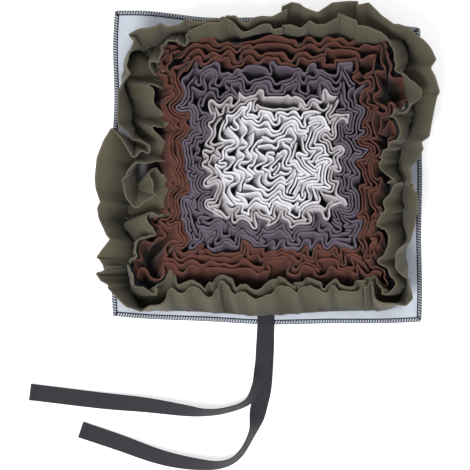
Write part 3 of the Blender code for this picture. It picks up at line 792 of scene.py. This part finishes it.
def add_mesh(name, parts, colour):
    """One piece from several closed meshes, each as leaf_mesh returns it."""
    points, faces, marks, flat, start = [], [], [], [], 0
    for part_points, part_faces, part_marks, part_flat in parts:
        points.append(part_points)
        faces += [tuple(start + corner for corner in face) for face in part_faces]
        marks.append(part_marks)
        flat.append(part_flat)
        start += len(part_points)
    points, marks, flat = np.vstack(points) * MM, np.vstack(marks), np.vstack(flat)
    mesh = bpy.data.meshes.new(name)
    mesh.from_pydata(points.tolist(), [], faces)
    # Marks read by the materials: "height" sets the painted shade (on the felt it is how openly the felt
    # lies, not a height), and "rim" sets the painted highlight of a leaf's cut edge
    for number, title in enumerate(("height", "rim")):
        mark = mesh.attributes.new(title, "FLOAT", "POINT")
        mark.data.foreach_set("value", marks[:, number].astype(np.float32))
    loops = np.empty(len(mesh.loops), np.int32)
    mesh.loops.foreach_get("vertex_index", loops)
    mesh.uv_layers.new(name="flat").data.foreach_set("uv", (flat[loops] * MM * 10).astype(np.float32).ravel())
    mesh.shade_smooth()
    mesh.materials.append(materials()[colour])
    mesh.update()
    made = bpy.data.objects.new(name, mesh)
    bpy.context.scene.collection.objects.link(made)
    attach(made, "root")
    return made


def inner_lines(name, number, side):
    """An inner strip's two free edges before they grow, where they are sewn along the seam, and heights."""
    half, corner, apart, height = STRIPS[name]
    length = ring_length(half, corner)
    first = 2 * half - 2 * corner + math.pi * corner / 2
    quarter = [0.0, first, length / 2, length / 2 + first, length]
    middle = (quarter[side] + quarter[side + 1]) / 2
    moved = MOST_STAGGER * shake(number, 5)
    start, end = quarter[side] + moved + END_GAP / 2, quarter[side + 1] + moved - END_GAP / 2
    if name == INNERMOST:
        start, end = middle - INNERMOST_HALF_LENGTH, middle + INNERMOST_HALF_LENGTH
    turns = side_turns(side)
    along = fold_line(turns)[0] + middle
    inside = np.flatnonzero((along > start) & (along < end))
    places = seam_places(turns, inside) + middle
    along = np.concatenate([[start], along[inside], [end]])
    places = np.clip(np.concatenate([[start], places, [end]]), start, end)
    room = 1 + CORNER_ROOM * corner_room(half, corner, along)
    (apart_waver, apart_wave), (height_waver, height_wave) = WAVER["apart"], WAVER["height"]
    found = []
    for way in (1, -1):
        shift = way * apart * (1 + apart_waver * np.sin(along / apart_wave + number + way))
        flat = on_ring(half, corner, along, shift * room)
        edges = pushed(leant(wandered(flat + FOLD_SHARE * (folded(flat) - flat))))
        sewn = places
        for strayed_name, strayed_side, turns_there in STRAYING:
            if (strayed_name, strayed_side, 1) == (name, side, way):
                edges, sewn = strayed(edges, sewn, np.array(turns_there, float))
        edges, spots = resampled(edges, EDGE_STEP)
        sewn = np.maximum.accumulate(np.interp(spots, np.arange(len(sewn)), sewn))
        sewn = sewn + SEAM_STEP * np.arange(len(edges))
        edges = curled(edges, ALL_CURLS)
        heights = height + height_waver * np.sin(sewn / height_wave + 2 * number + way)
        line, spots = resampled(edges, EDGE_STEP)
        index = np.arange(len(sewn))
        found.append((line, np.interp(spots, index, sewn), np.interp(spots, index, heights)))
    return found


def strayed(edges, places, turns):
    """An edge, and where it is sewn, with a stretch of it led along other turns."""
    first, last = (int(np.argmin(((edges - turn)**2).sum(axis=1))) for turn in (turns[0], turns[-1]))
    first = 0 if first < STRIP_END else first
    last = len(edges) if last > len(edges) - STRIP_END else last
    share = run_of(turns) / run_of(turns)[-1]
    sewn = places[first] + (places[min(last, len(places) - 1)] - places[first]) * share
    return (np.vstack([edges[:first], turns, edges[last:]]),
            np.concatenate([places[:first], sewn, places[last:]]))


def olive_lines(name):
    """The free edges of an olive strip's outer and inner leaf, and where along the seam they are sewn."""
    half, corner = OLIVE["half"], OLIVE["corner"]
    rows = OLIVE_FOLDS[name]
    found = []
    for leaf in (0, 1):
        stops = []
        for number, (near, far) in enumerate(zip(rows, rows[1:])):
            key = 97 * len(name) + 10 * number + leaf
            share = ZIGZAG_SPOT[0] + ZIGZAG_SPOT[1] * shake(key, 41)
            span, before, after = far[0] - near[0], near[1 + leaf], far[1 + leaf]
            stray = ZIGZAG[name]
            between = before + (after - before) * share + stray * shake(key, 42)
            stops.append((near[0] + stray * shake(key, 44), before, near[0]))
            stops.append((near[0] + span * share + stray * shake(key, 43), between, near[0] + span * share))
        stops.append((rows[-1][0], rows[-1][1 + leaf], rows[-1][0]))
        for place, depth in NOTCHES if name == "lower" else ():
            level = float(np.interp(place, [stop[0] for stop in stops], [stop[1] for stop in stops]))
            stops = [stop for stop in stops if abs(stop[0] - place) > 1.5 * NOTCH_HALF_WIDTH]
            stops += [(place + step * NOTCH_HALF_WIDTH, level + (depth if step == 0 else 0),
                       place + step * NOTCH_HALF_WIDTH) for step in (-1, 0, 1)]
            stops.sort()
        along, across, places = np.array(stops).T
        along[0], along[-1] = along[0] - OVERLAP, along[-1] + OVERLAP
        corners = on_ring(half, corner, along, across)
        for laid_name, laid_leaf, start, end, laid in LAID_OVER:
            if (laid_name, laid_leaf) == (name, leaf):
                before, after = places < start, places > end
                corners = np.vstack([corners[before], laid, corners[after]])
                share = np.linspace(start, end, len(laid))
                places = np.concatenate([places[before], share, places[after]])
        line, _ = resampled(corners, OLIVE_STEP / 2)
        line, _ = resampled(curled(line, ALL_CURLS), OLIVE_STEP)
        found.append((line, seams_near(line, half, corner, rows[0][0] - OVERLAP, rows[-1][0] + OVERLAP)))
    return found


def seams_near(line, half, corner, start, end):
    """Where along its ring's seam each point of an edge is sewn: as near as it can be, and in order."""
    ring = np.arange(start - SEAM_BEYOND, end + SEAM_BEYOND, SEAM_SEARCH)
    away = line[:, None] - on_ring(half, corner, ring)[None]
    nearest = ring[np.argmin((away**2).sum(axis=2), axis=1)]
    up = np.maximum.accumulate(nearest)
    down = np.minimum.accumulate(nearest[::-1])[::-1]
    smooth = np.convolve(np.pad((up + down) / 2, SEAM_SMOOTH, mode="edge"),
                         np.full(2 * SEAM_SMOOTH + 1, 1 / (2 * SEAM_SMOOTH + 1)), mode="valid")
    even = np.linspace(0.0, 1.0, len(line))
    smooth += (start - smooth[0]) * (1 - even) + (end - smooth[-1]) * even
    return (1 - EVEN_SHARE) * smooth + EVEN_SHARE * (start + (end - start) * even)


# Materials ------------

FLEECE_COLOURS = {
    "olive": (0.093, 0.083, 0.056),
    "brown": (0.094, 0.036, 0.026),
    "purple": (0.103, 0.083, 0.108),
    "grey": (0.39, 0.362, 0.375),
    "white": (0.57, 0.565, 0.59),
}
# Painted shade: the cloth's colour is darkened towards the seam, where the strips shade one another: heights
# where it is darkest and where that ends, and how dark
SHADED = {"olive": (0.0, 0.85, 0.30), "white": (0.2, 1.0, 0.25)}
INNER_SHADED = (0.45, 1.0, 0.06)
_made = {}


def fill(target, **values):
    """Give a node its settings and the values of its inputs, which have _ in their names for a space."""
    for name, value in values.items():
        if hasattr(target, name):
            setattr(target, name, value)
        else:
            target.inputs[name.replace("_", " ")].default_value = value
    return target


def node(tree, kind, **values):
    return fill(tree.nodes.new(kind), **values)


def mark(tree, name):
    return node(tree, "ShaderNodeAttribute", attribute_name=name).outputs["Fac"]


def mapped(tree, value, start, end, low, high):
    made = node(tree, "ShaderNodeMapRange", From_Min=start, From_Max=end, To_Min=low, To_Max=high)
    tree.links.new(value, made.inputs["Value"])
    return made.outputs["Result"]


def noise(tree, place, scale, detail):
    made = node(tree, "ShaderNodeTexNoise", Scale=scale, Detail=detail)
    tree.links.new(place, made.inputs["Vector"])
    return made.outputs["Fac"]


def times(tree, first, second, operation="MULTIPLY"):
    made = node(tree, "ShaderNodeMath", operation=operation)
    tree.links.new(first, made.inputs[0])
    tree.links.new(second, made.inputs[1])
    return made.outputs["Value"]


def tinted(tree, shader, colour, factor):
    """Give a shader this colour times a factor."""
    made = node(tree, "ShaderNodeVectorMath", operation="SCALE")
    made.inputs[0].default_value = colour
    tree.links.new(factor, made.inputs["Scale"])
    tree.links.new(made.outputs["Vector"], shader.inputs["Base Color"])


def bumped(tree, shader, height, strength, distance):
    made = node(tree, "ShaderNodeBump", Strength=strength, Distance=distance)
    tree.links.new(height, made.inputs["Height"])
    tree.links.new(made.outputs["Normal"], shader.inputs["Normal"])


def plain(name, roughness, sheen, gloss=0.25):
    """A new material, its tree, its shader and the place on the object."""
    made = bpy.data.materials.new(name)
    made.use_nodes = True
    tree = made.node_tree
    shader = fill(tree.nodes["Principled BSDF"], Roughness=roughness, Sheen_Weight=sheen,
                  Specular_IOR_Level=gloss)
    return made, tree, shader, node(tree, "ShaderNodeTexCoord").outputs["Object"]


def fleece(name, colour, shaded):
    """Short pile with faint ribs: painted shade darkens it towards the seam, and it is lighter at the cut
    edge, partly as a painted highlight and partly from the edge's paler fuzz.
    """
    made, tree, shader, place = plain(name, 0.95, 0.35, 0.2)
    fill(shader, Sheen_Roughness=0.45, Sheen_Tint=(*[min(1.0, 0.35 + part) for part in colour], 1.0))
    pile = noise(tree, place, 900.0, 3.0)
    # Painted shade: darker the nearer the seam, by the height mark
    factor = mapped(tree, mark(tree, "height"), *shaded, 1.0)
    for other in (
        mapped(tree, noise(tree, place, 38.0, 2.0), 0.25, 0.75, 0.90, 1.10),
        mapped(tree, pile, 0.3, 0.7, 0.90, 1.10),
        # Painted highlight along the cut edge, by the rim mark, together with the paler fuzz that the cut
        # edge has
        mapped(tree, mark(tree, "rim"), 0.2, 0.9, 1.0, 1.28),
    ):
        factor = times(tree, factor, other)
    tinted(tree, shader, colour, factor)
    ribs = node(tree, "ShaderNodeTexWave", wave_type="BANDS", bands_direction="DIAGONAL",
                Scale=16.0, Distortion=1.2, Detail=1.0)
    tree.links.new(node(tree, "ShaderNodeUVMap", uv_map="flat").outputs["UV"], ribs.inputs["Vector"])
    bumped(tree, shader, times(tree, pile, ribs.outputs["Fac"], "ADD"), 0.35, 0.0006)
    return made


def felt_material():
    made, tree, shader, place = plain("felt", 0.95, 0.2)
    fibres = noise(tree, place, 420.0, 4.0)
    clouds = noise(tree, place, 26.0, 3.0)
    factor = times(tree, mapped(tree, fibres, 0.3, 0.7, 0.93, 1.06),
                   mapped(tree, clouds, 0.3, 0.7, 0.93, 1.05))
    # Painted shade: the felt is darkened where it lies deep among the strips
    factor = times(tree, factor, mapped(tree, mark(tree, "height"), 0.0, 1.0, 0.12, 1.0))
    tinted(tree, shader, (0.55, 0.595, 0.66), factor)
    bumped(tree, shader, fibres, 0.5, 0.0005)
    return made


def webbing_material():
    made, tree, shader, _ = plain("webbing", 0.75, 0.1)
    flat = node(tree, "ShaderNodeUVMap", uv_map="flat").outputs["UV"]
    split = node(tree, "ShaderNodeSeparateXYZ")
    tree.links.new(flat, split.inputs["Vector"])

    def wave(channel, period):
        scaled = node(tree, "ShaderNodeMath", operation="MULTIPLY")
        scaled.inputs[1].default_value = 2 * math.pi / (period * MM * 10)
        tree.links.new(split.outputs[channel], scaled.inputs[0])
        sine = node(tree, "ShaderNodeMath", operation="SINE")
        tree.links.new(scaled.outputs["Value"], sine.inputs[0])
        return sine.outputs["Value"]

    weave = times(tree, wave("X", 3.1), wave("Y", 2.4))
    fibres = mapped(tree, noise(tree, flat, 260.0, 2.0), 0.3, 0.7, 0.85, 1.15)
    tinted(tree, shader, (0.025, 0.025, 0.031), times(tree, mapped(tree, weave, -1.0, 1.0, 0.6, 1.4), fibres))
    bumped(tree, shader, weave, 0.6, 0.0004)
    return made


def thread_material():
    made, tree, shader, place = plain("thread", 0.6, 0.0)
    fibres = noise(tree, place, 700.0, 2.0)
    tinted(tree, shader, (0.014, 0.016, 0.028), mapped(tree, fibres, 0.3, 0.7, 0.7, 1.3))
    return made


def materials():
    if not _made:
        for name, colour in FLEECE_COLOURS.items():
            _made[name] = fleece(name + "_fleece", colour, SHADED.get(name, INNER_SHADED))
        _made["felt"] = felt_material()
        _made["webbing"] = webbing_material()
        _made["thread"] = thread_material()
    return _made


# Felt, its overlock sewing and the webbing ------------

# The felt's rings, as shares of the way from the middle to the edge
FELT_RINGS = (1.0, 0.985, 0.97, 0.95, 0.93, 0.91, 0.885, 0.86, 0.82, 0.76, 0.66, 0.5, 0.3, 0.1)
RIPPLE = 1.7  # high
STITCH = 3.9  # between two overlock stitches
BAND = 5.0  # from the felt's edge to the needle's line
THREAD = 0.8  # radius
NEEDLE_THREAD, EDGE_THREAD = 0.9, 0.4  # radii of the seam's line and of the looper's along the edge
BORDER = (200, 14)  # from the middle to where the felt's ripples start, and over how far they grow
BULGE = 0.4  # of the felt's edge
FELT_SHADE = (184.0, 200.0)  # from the middle: painted shade darkens the felt deep among the strips up to here, and it lies open from here


def felt_lift(points):
    """How far the felt's border lifts off the floor in soft ripples."""
    x, y = (points - MIDDLE).T
    beyond = np.clip((np.maximum(np.abs(x), np.abs(y) + SHORTER) - BORDER[0]) / BORDER[1], 0, 1)
    waves = (np.sin(x / 8.3 + 1.1 * np.sin(y / 31)) * np.cos(y / 11.0 + 0.7 * np.sin(x / 23))
             + 0.5 * np.sin((x + y) / 17.0 + 1.0))
    return RIPPLE * beyond * beyond * np.clip(0.35 + 0.55 * waves, 0, None)


def make_felt():
    outline = felt_outline()
    centre = np.array(MIDDLE)
    rings = np.array([centre + (outline - centre) * share for share in FELT_RINGS])
    count = len(outline)
    lift = felt_lift(rings.reshape(-1, 2)).reshape(len(FELT_RINGS), count)
    top = np.dstack([rings, FELT + lift])
    bottom = np.dstack([rings, lift])
    side = (top[:1] + bottom[:1]) / 2
    side[0, :, :2] += unit(outline - centre) * BULGE
    rows = np.concatenate([top[::-1], side, bottom])
    points = np.vstack([rows.reshape(-1, 3), [[*centre, FELT], [*centre, 0.0]]])
    faces = skin(len(rows), count)[:, FLIPPED].tolist()
    last = (len(rows) - 1) * count
    faces += [(len(points) - 2, a, (a + 1) % count) for a in range(count)]
    faces += [(len(points) - 1, last + (a + 1) % count, last + a) for a in range(count)]
    # The first mark is the felt's painted shade: 0 deep among the strips, 1 where the felt lies open
    marks = np.ones((len(points), 2))
    reach = np.abs(points[:, :2] - centre).max(axis=1)
    marks[:, 0] = np.clip((reach - FELT_SHADE[0]) / (FELT_SHADE[1] - FELT_SHADE[0]), 0.0, 1.0)
    made = add_mesh("felt_base", [(points, faces, marks, points[:, :2])], "felt")
    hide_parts("base")
    return made


def tube(path, radius, sides=5):
    """A closed tube along a path."""
    path = np.asarray(path, float)
    ahead = unit(np.gradient(path, axis=0))
    other = unit(np.cross(ahead, (0.31, 0.17, 0.93)))
    third = np.cross(ahead, other)
    turn = 2 * math.pi * np.arange(sides) / sides
    circle = np.cos(turn)[None, :, None] * other[:, None] + np.sin(turn)[None, :, None] * third[:, None]
    points = (path[:, None] + radius * circle).reshape(-1, 3)
    last = (len(path) - 1) * sides
    faces = [tuple(range(sides))[::-1], *skin(len(path), sides).tolist(), tuple(range(last, last + sides))]
    return points, faces, np.ones((len(points), 2)), points[:, :2]


def on_felt(spots, rise):
    """Points in plan, this high over the felt's upper face."""
    spots = np.array(spots)
    return np.column_stack([spots, FELT + felt_lift(spots) + rise])


# A stitch over the felt's face, round its edge and back below: outward, above the face, share of a stitch
OVER_EDGE = ((-BAND, 0.2, 0.55), (-BAND / 2, 0.55, 0.25), (0.2, 0.45, 0.0), (0.8, -0.9, -0.1),
             (0.2, -2.25, 0.0), (-BAND / 2, -2.3, 0.3), (-BAND, -2.15, 0.55))
STITCH_UNEVEN, EDGE_UNEVEN = 0.25, 0.2  # how far a stitch strays, and how much of that at the edge
NEEDLE_IN, NEEDLE_PAST, NEEDLE_BOW = 4.9, 0.2, 0.4  # its line from the edge, its overlap, how far it arches
LOOPER_OUT, LOOPER_BOW = 0.55, 0.95  # from the edge at the stitches and between them
NEEDLE_UP, LOOPER_UP = 0.1, (0.35, -0.1, 0.35)  # above the felt's face


def make_overlock():
    outline = felt_outline()
    line = resampled(np.vstack([outline, outline[:1]]), STITCH)[0][:-1]
    ahead = unit(np.roll(line, -1, axis=0) - np.roll(line, 1, axis=0))
    out = np.column_stack([ahead[:, 1], -ahead[:, 0]])
    parts = []
    for number, (place, along, away) in enumerate(zip(line, ahead, out)):
        stray = STITCH_UNEVEN * shake(number, 3)
        across, up, slant = np.array(OVER_EDGE).T
        across[0] += stray
        across[2] += EDGE_UNEVEN * stray
        spots = place + away * across[:, None] + along * slant[:, None] * STITCH
        parts.append(tube(on_felt(spots, up), THREAD))
        after = (number + 1) % len(line)
        ends = on_felt([place - away * NEEDLE_IN + along * NEEDLE_PAST,
                        line[after] - out[after] * NEEDLE_IN - ahead[after] * NEEDLE_PAST], NEEDLE_UP)
        parts.append(tube([ends[0], ends.mean(axis=0) + (0, 0, NEEDLE_BOW), ends[1]], NEEDLE_THREAD, 4))
        edge = [place + away * LOOPER_OUT, (place + line[after]) / 2 + away * LOOPER_BOW,
                line[after] + out[after] * LOOPER_OUT]
        parts.append(tube(on_felt(edge, LOOPER_UP), EDGE_THREAD, 4))
    made = add_mesh("overlock_thread", parts, "thread")
    return made


WEB_FINE = 0.8  # between two rows
WEB_ACROSS = (-1.0, -0.985, -0.93, -0.6, -0.2, 0.2, 0.6, 0.93, 0.985, 1.0)
WEB_PROFILE = (0.25, 0.75, 1.0, 1.0, 1.0, 1.0, 1.0, 1.0, 0.75, 0.25)
SCALLOP, SCALLOP_STEP = 0.28, 2.4  # of the web's edges: depth, and from one to the next
TIE_STEPS = 24  # between two rows of a tie's table
HEM_EASE = (0.6, 0.8)  # how far past the hem the web begins to thicken, and over how far
TIP = (0.5, 0.75)  # the last of the web is thinner: how long, what share
# Rows of stitches: from the free end, and from the sewn end of the upper tie
SEWN_AT_TIP = 6.2
SEWN_AT_START = (3.0, 16.5)
STITCHES = 9  # in a row
FIRST_STITCH, STITCH_APART = 1.6, 2.5
STITCH_SHAPE = ((0.0, -0.25), (0.9, 0.12), (1.8, -0.25))  # across the web, above it
STITCH_RADIUS, STITCH_UP = 0.38, 0.12


def tie_mesh(name):
    rows = smoothed(TIES[name], TIE_STEPS)
    run = run_of(rows[:, :2])
    even = np.linspace(0, run[-1], int(run[-1] / WEB_FINE))
    rows = np.column_stack([np.interp(even, run, rows[:, number]) for number in range(4)])
    side = outward(rows[:, :2])
    from_end = even[-1] - even
    thick = WEB * (1 + np.clip((HEM + HEM_EASE[0] - from_end) / HEM_EASE[1], 0, 1))
    thick *= np.where(from_end < TIP[0], TIP[1], 1.0)
    shares = list(zip(WEB_ACROSS, WEB_PROFILE))
    section = [(-1, *share) for share in shares] + [(1, *share) for share in shares[::-1]]
    points, flats = [], []
    for number, (x, y, degrees, lift) in enumerate(rows):
        turn = math.radians(max(degrees, 0.0))
        cos, sin = math.cos(turn), math.sin(turn)
        scallop = SCALLOP * abs(math.sin(math.pi * even[number] / SCALLOP_STEP))
        half = WEB_WIDTH / 2 - SCALLOP + scallop
        lowest = min(way * half * sin - up * thick[number] / 2 * cos for way in (-1, 1) for up in (-1, 1))
        for face, across, profile in section:
            over, up = across * half, face * profile * thick[number] / 2
            plan, rise = over * cos - up * sin, over * sin + up * cos
            points.append((x + side[number][0] * plan, y + side[number][1] * plan,
                           max(lift, 0.0) + rise - lowest))
            flats.append((over, even[number]))
    count = len(section)
    last = (len(rows) - 1) * count
    faces = [tuple(range(count)), *skin(len(rows), count)[:, FLIPPED].tolist(),
             tuple(last + corner for corner in reversed(range(count)))]
    return (np.array(points), faces, np.ones((len(points), 2)), np.array(flats)), rows, side, even[-1]


def make_ties():
    for name in TIES:
        mesh, rows, side, length = tie_mesh(name)
        tie = add_mesh("webbing_" + name, [mesh], "webbing")
        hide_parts(name)
        stitches = []
        spots = [len(rows) - 1 - int(SEWN_AT_TIP / WEB_FINE)]
        if name == "tie_upper":
            spots += [int(place / WEB_FINE) for place in SEWN_AT_START]
        for spot in spots:
            top = max(rows[spot, 3], 0.0) + (2 * WEB if spot > len(rows) / 2 else WEB) + STITCH_UP
            for number in range(STITCHES):
                over = -WEB_WIDTH / 2 + FIRST_STITCH + number * STITCH_APART
                path = [(*(rows[spot, :2] + side[spot] * (over + part)), top + up)
                        for part, up in STITCH_SHAPE]
                stitches.append(tube(path, STITCH_RADIUS, 5))
        thread = add_mesh("stitches_" + name, stitches, "thread")


# Stage ------------

# The picture in millimetres; the lamps and the floor in metres
FRAME_WIDE = 693.0
FRAME_MIDDLE = (-47.4, -97.7)
CAMERA_HEIGHT = 6000.0
FOCUS_HEIGHT = 25.0
SENSOR = 36.0
WORLD = {"Color": (0.96, 0.97, 1.0, 1.0), "Strength": 0.5}
LAMPS = {"key": ((-0.9, -1.3, 2.2), 1.1, 58.0), "fill": ((0.8, 1.4, 2.1), 2.0, 16.0)}  # place, size, watts
LIT = (-0.03, -0.05, 0.0)  # what both lamps point at
FLOOR = {"Base_Color": (0.9, 0.9, 0.9, 1.0), "Emission_Color": (1.0, 1.0, 1.0, 1.0),
         "Emission_Strength": 0.45, "Roughness": 0.9}
FLOOR_HALF, FLOOR_DROP = 4.0, 0.0004


def make_stage():
    scene = bpy.context.scene

    def placed(name, data, place):
        made = bpy.data.objects.new(name, data)
        made.location = place
        scene.collection.objects.link(made)
        return made

    camera = bpy.data.cameras.new("camera")
    camera.sensor_width = SENSOR
    camera.lens = SENSOR * (CAMERA_HEIGHT - FOCUS_HEIGHT) / FRAME_WIDE
    camera.clip_end = 50.0
    scene.camera = placed("camera", camera, (FRAME_MIDDLE[0] * MM, FRAME_MIDDLE[1] * MM, CAMERA_HEIGHT * MM))
    scene.world = bpy.data.worlds.new("studio")
    scene.world.use_nodes = True
    fill(scene.world.node_tree.nodes["Background"], **WORLD)
    for name, (place, size, power) in LAMPS.items():
        lamp = bpy.data.lights.new(name, "AREA")
        lamp.size = size
        lamp.energy = power
        direction = Vector(LIT) - Vector(place)
        placed(name, lamp, place).rotation_euler = direction.to_track_quat("-Z", "Y").to_euler()
    mesh = bpy.data.meshes.new("floor")
    corners = [(x * FLOOR_HALF, y * FLOOR_HALF, -FLOOR_DROP) for x, y in ((-1, -1), (1, -1), (1, 1), (-1, 1))]
    mesh.from_pydata(corners, [], [(0, 1, 2, 3)])
    paint = bpy.data.materials.new("floor")
    paint.use_nodes = True
    fill(paint.node_tree.nodes["Principled BSDF"], **FLOOR)
    mesh.materials.append(paint)
    placed("floor", mesh, (0.0, 0.0, 0.0))
    scene.view_settings.view_transform = "Standard"


def olive_surface(side, leaf, line, places):
    """The middle surface of an olive leaf, and its free edge, kept within the leaf's reach."""
    roots = on_ring(OLIVE["half"], OLIVE["corner"], places)
    away = line - roots
    far = np.linalg.norm(away, axis=1)
    line = roots + away * np.minimum(1.0, OLIVE_REACH * OLIVE["leaf"] / np.maximum(far, TINY))[:, None]
    surface = (far_leaf if leaf == 1 else drooping_leaf)(roots, line, OLIVE["leaf"], OLIVE_ROWS)
    sway = SEAM_SWAY[side] * np.sin(places / SWAY_WAVES[0] + SWAY_WAVES[1] * np.sin(places / SWAY_WAVES[2]))
    middle, wide, down = SEAM_SAG
    sag = down * np.exp(-((roots[:, 0] - middle) / wide) ** 2) * (roots[:, 1] < LOWER_SIDE)
    out = outward(roots)
    for row, share in enumerate(np.linspace(0, 1, len(surface))):
        profile = min(1.0, share / SWAY_RISE) * (1 - share)
        surface[row, :, :2] += out * (sway * profile)[:, None]
        if side == "lower":
            surface[row, :, 1] -= sag * (1 - share) ** 2
    return creased(surface, run_of(line), OLIVE_CREASES, 40 * leaf + len(side)), line


def inner_surface(name, leaf, seed, before, line, places, heights):
    """The middle surface of an inner strip's leaf, and its height after its edge has moved."""
    roots = on_ring(*STRIPS[name][:2], places)
    cloth = heights**2 + ((before - roots)**2).sum(axis=1)
    reach = ((line - roots)**2).sum(axis=1)
    fallen = np.sqrt(np.maximum(cloth - reach, (LEAST_HEIGHT * heights)**2))
    heights = heights + SETTLED * (np.minimum(fallen, heights + MOST_RISE) - heights)
    roots = roots + outward(roots) * (1 - 2 * leaf) * (FLEECE / 2 + LEAF_GAP)
    rows = []
    for share in np.linspace(0, 1, INNER_ROWS):
        plan = roots + (line - roots) * share * (1 - LEAF_HOLLOW + LEAF_HOLLOW * share)
        rows.append(np.column_stack([plan, FELT + SEAM_GAP + heights * share]))
    surface = np.array(rows)
    if name.startswith("brown"):
        surface = creased(surface, run_of(line), BROWN_CREASES, seed)
    return surface, float(np.mean(heights))


def make_ruffles():
    leaves = []
    for name in OLIVE_FOLDS:
        for leaf, (line, places) in enumerate(olive_lines(name)):
            leaves.append(("olive", name, leaf, line, places, places, 1.0))
    for number, name in enumerate(STRIPS):
        for side in (1, 3) if name == INNERMOST else range(4):
            for leaf, edge in enumerate(inner_lines(name, number, side)):
                leaves.append((name, side, leaf, *edge, GROWTH[name]))
    found = grown([entry[3] for entry in leaves], [entry[-1] for entry in leaves])
    strips = {}
    for number, ((name, side, leaf, *edge, _), line) in enumerate(zip(leaves, found)):
        before, places, heights, line = (smoothed(values, 2) for values in (*edge, line))
        if name == "olive":
            surface, line = olive_surface(side, leaf, line, places)
            levels, height = OLIVE_FINE_LEVELS, OLIVE["leaf"]
        else:
            seed = 40 * leaf + 7 * number + side
            surface, height = inner_surface(name, leaf, seed, before, line, places, heights)
            levels = LEAF_LEVELS
        run = run_of(line)
        strips.setdefault((name, side), []).append((leaf_mesh(surface, levels, height, run), run[-1]))
    for (name, side), pair in strips.items():
        colour = name.split("_")[0]
        title = f"{name}_{side}" if name == "olive" else f"{name}_{SIDES[side]}"
        made = add_mesh("fleece_" + title, [mesh for mesh, _ in pair], colour)
        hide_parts("ruffle_" + title)


make_stage()
felt = make_felt()
overlock = make_overlock()
make_ties()
make_ruffles()
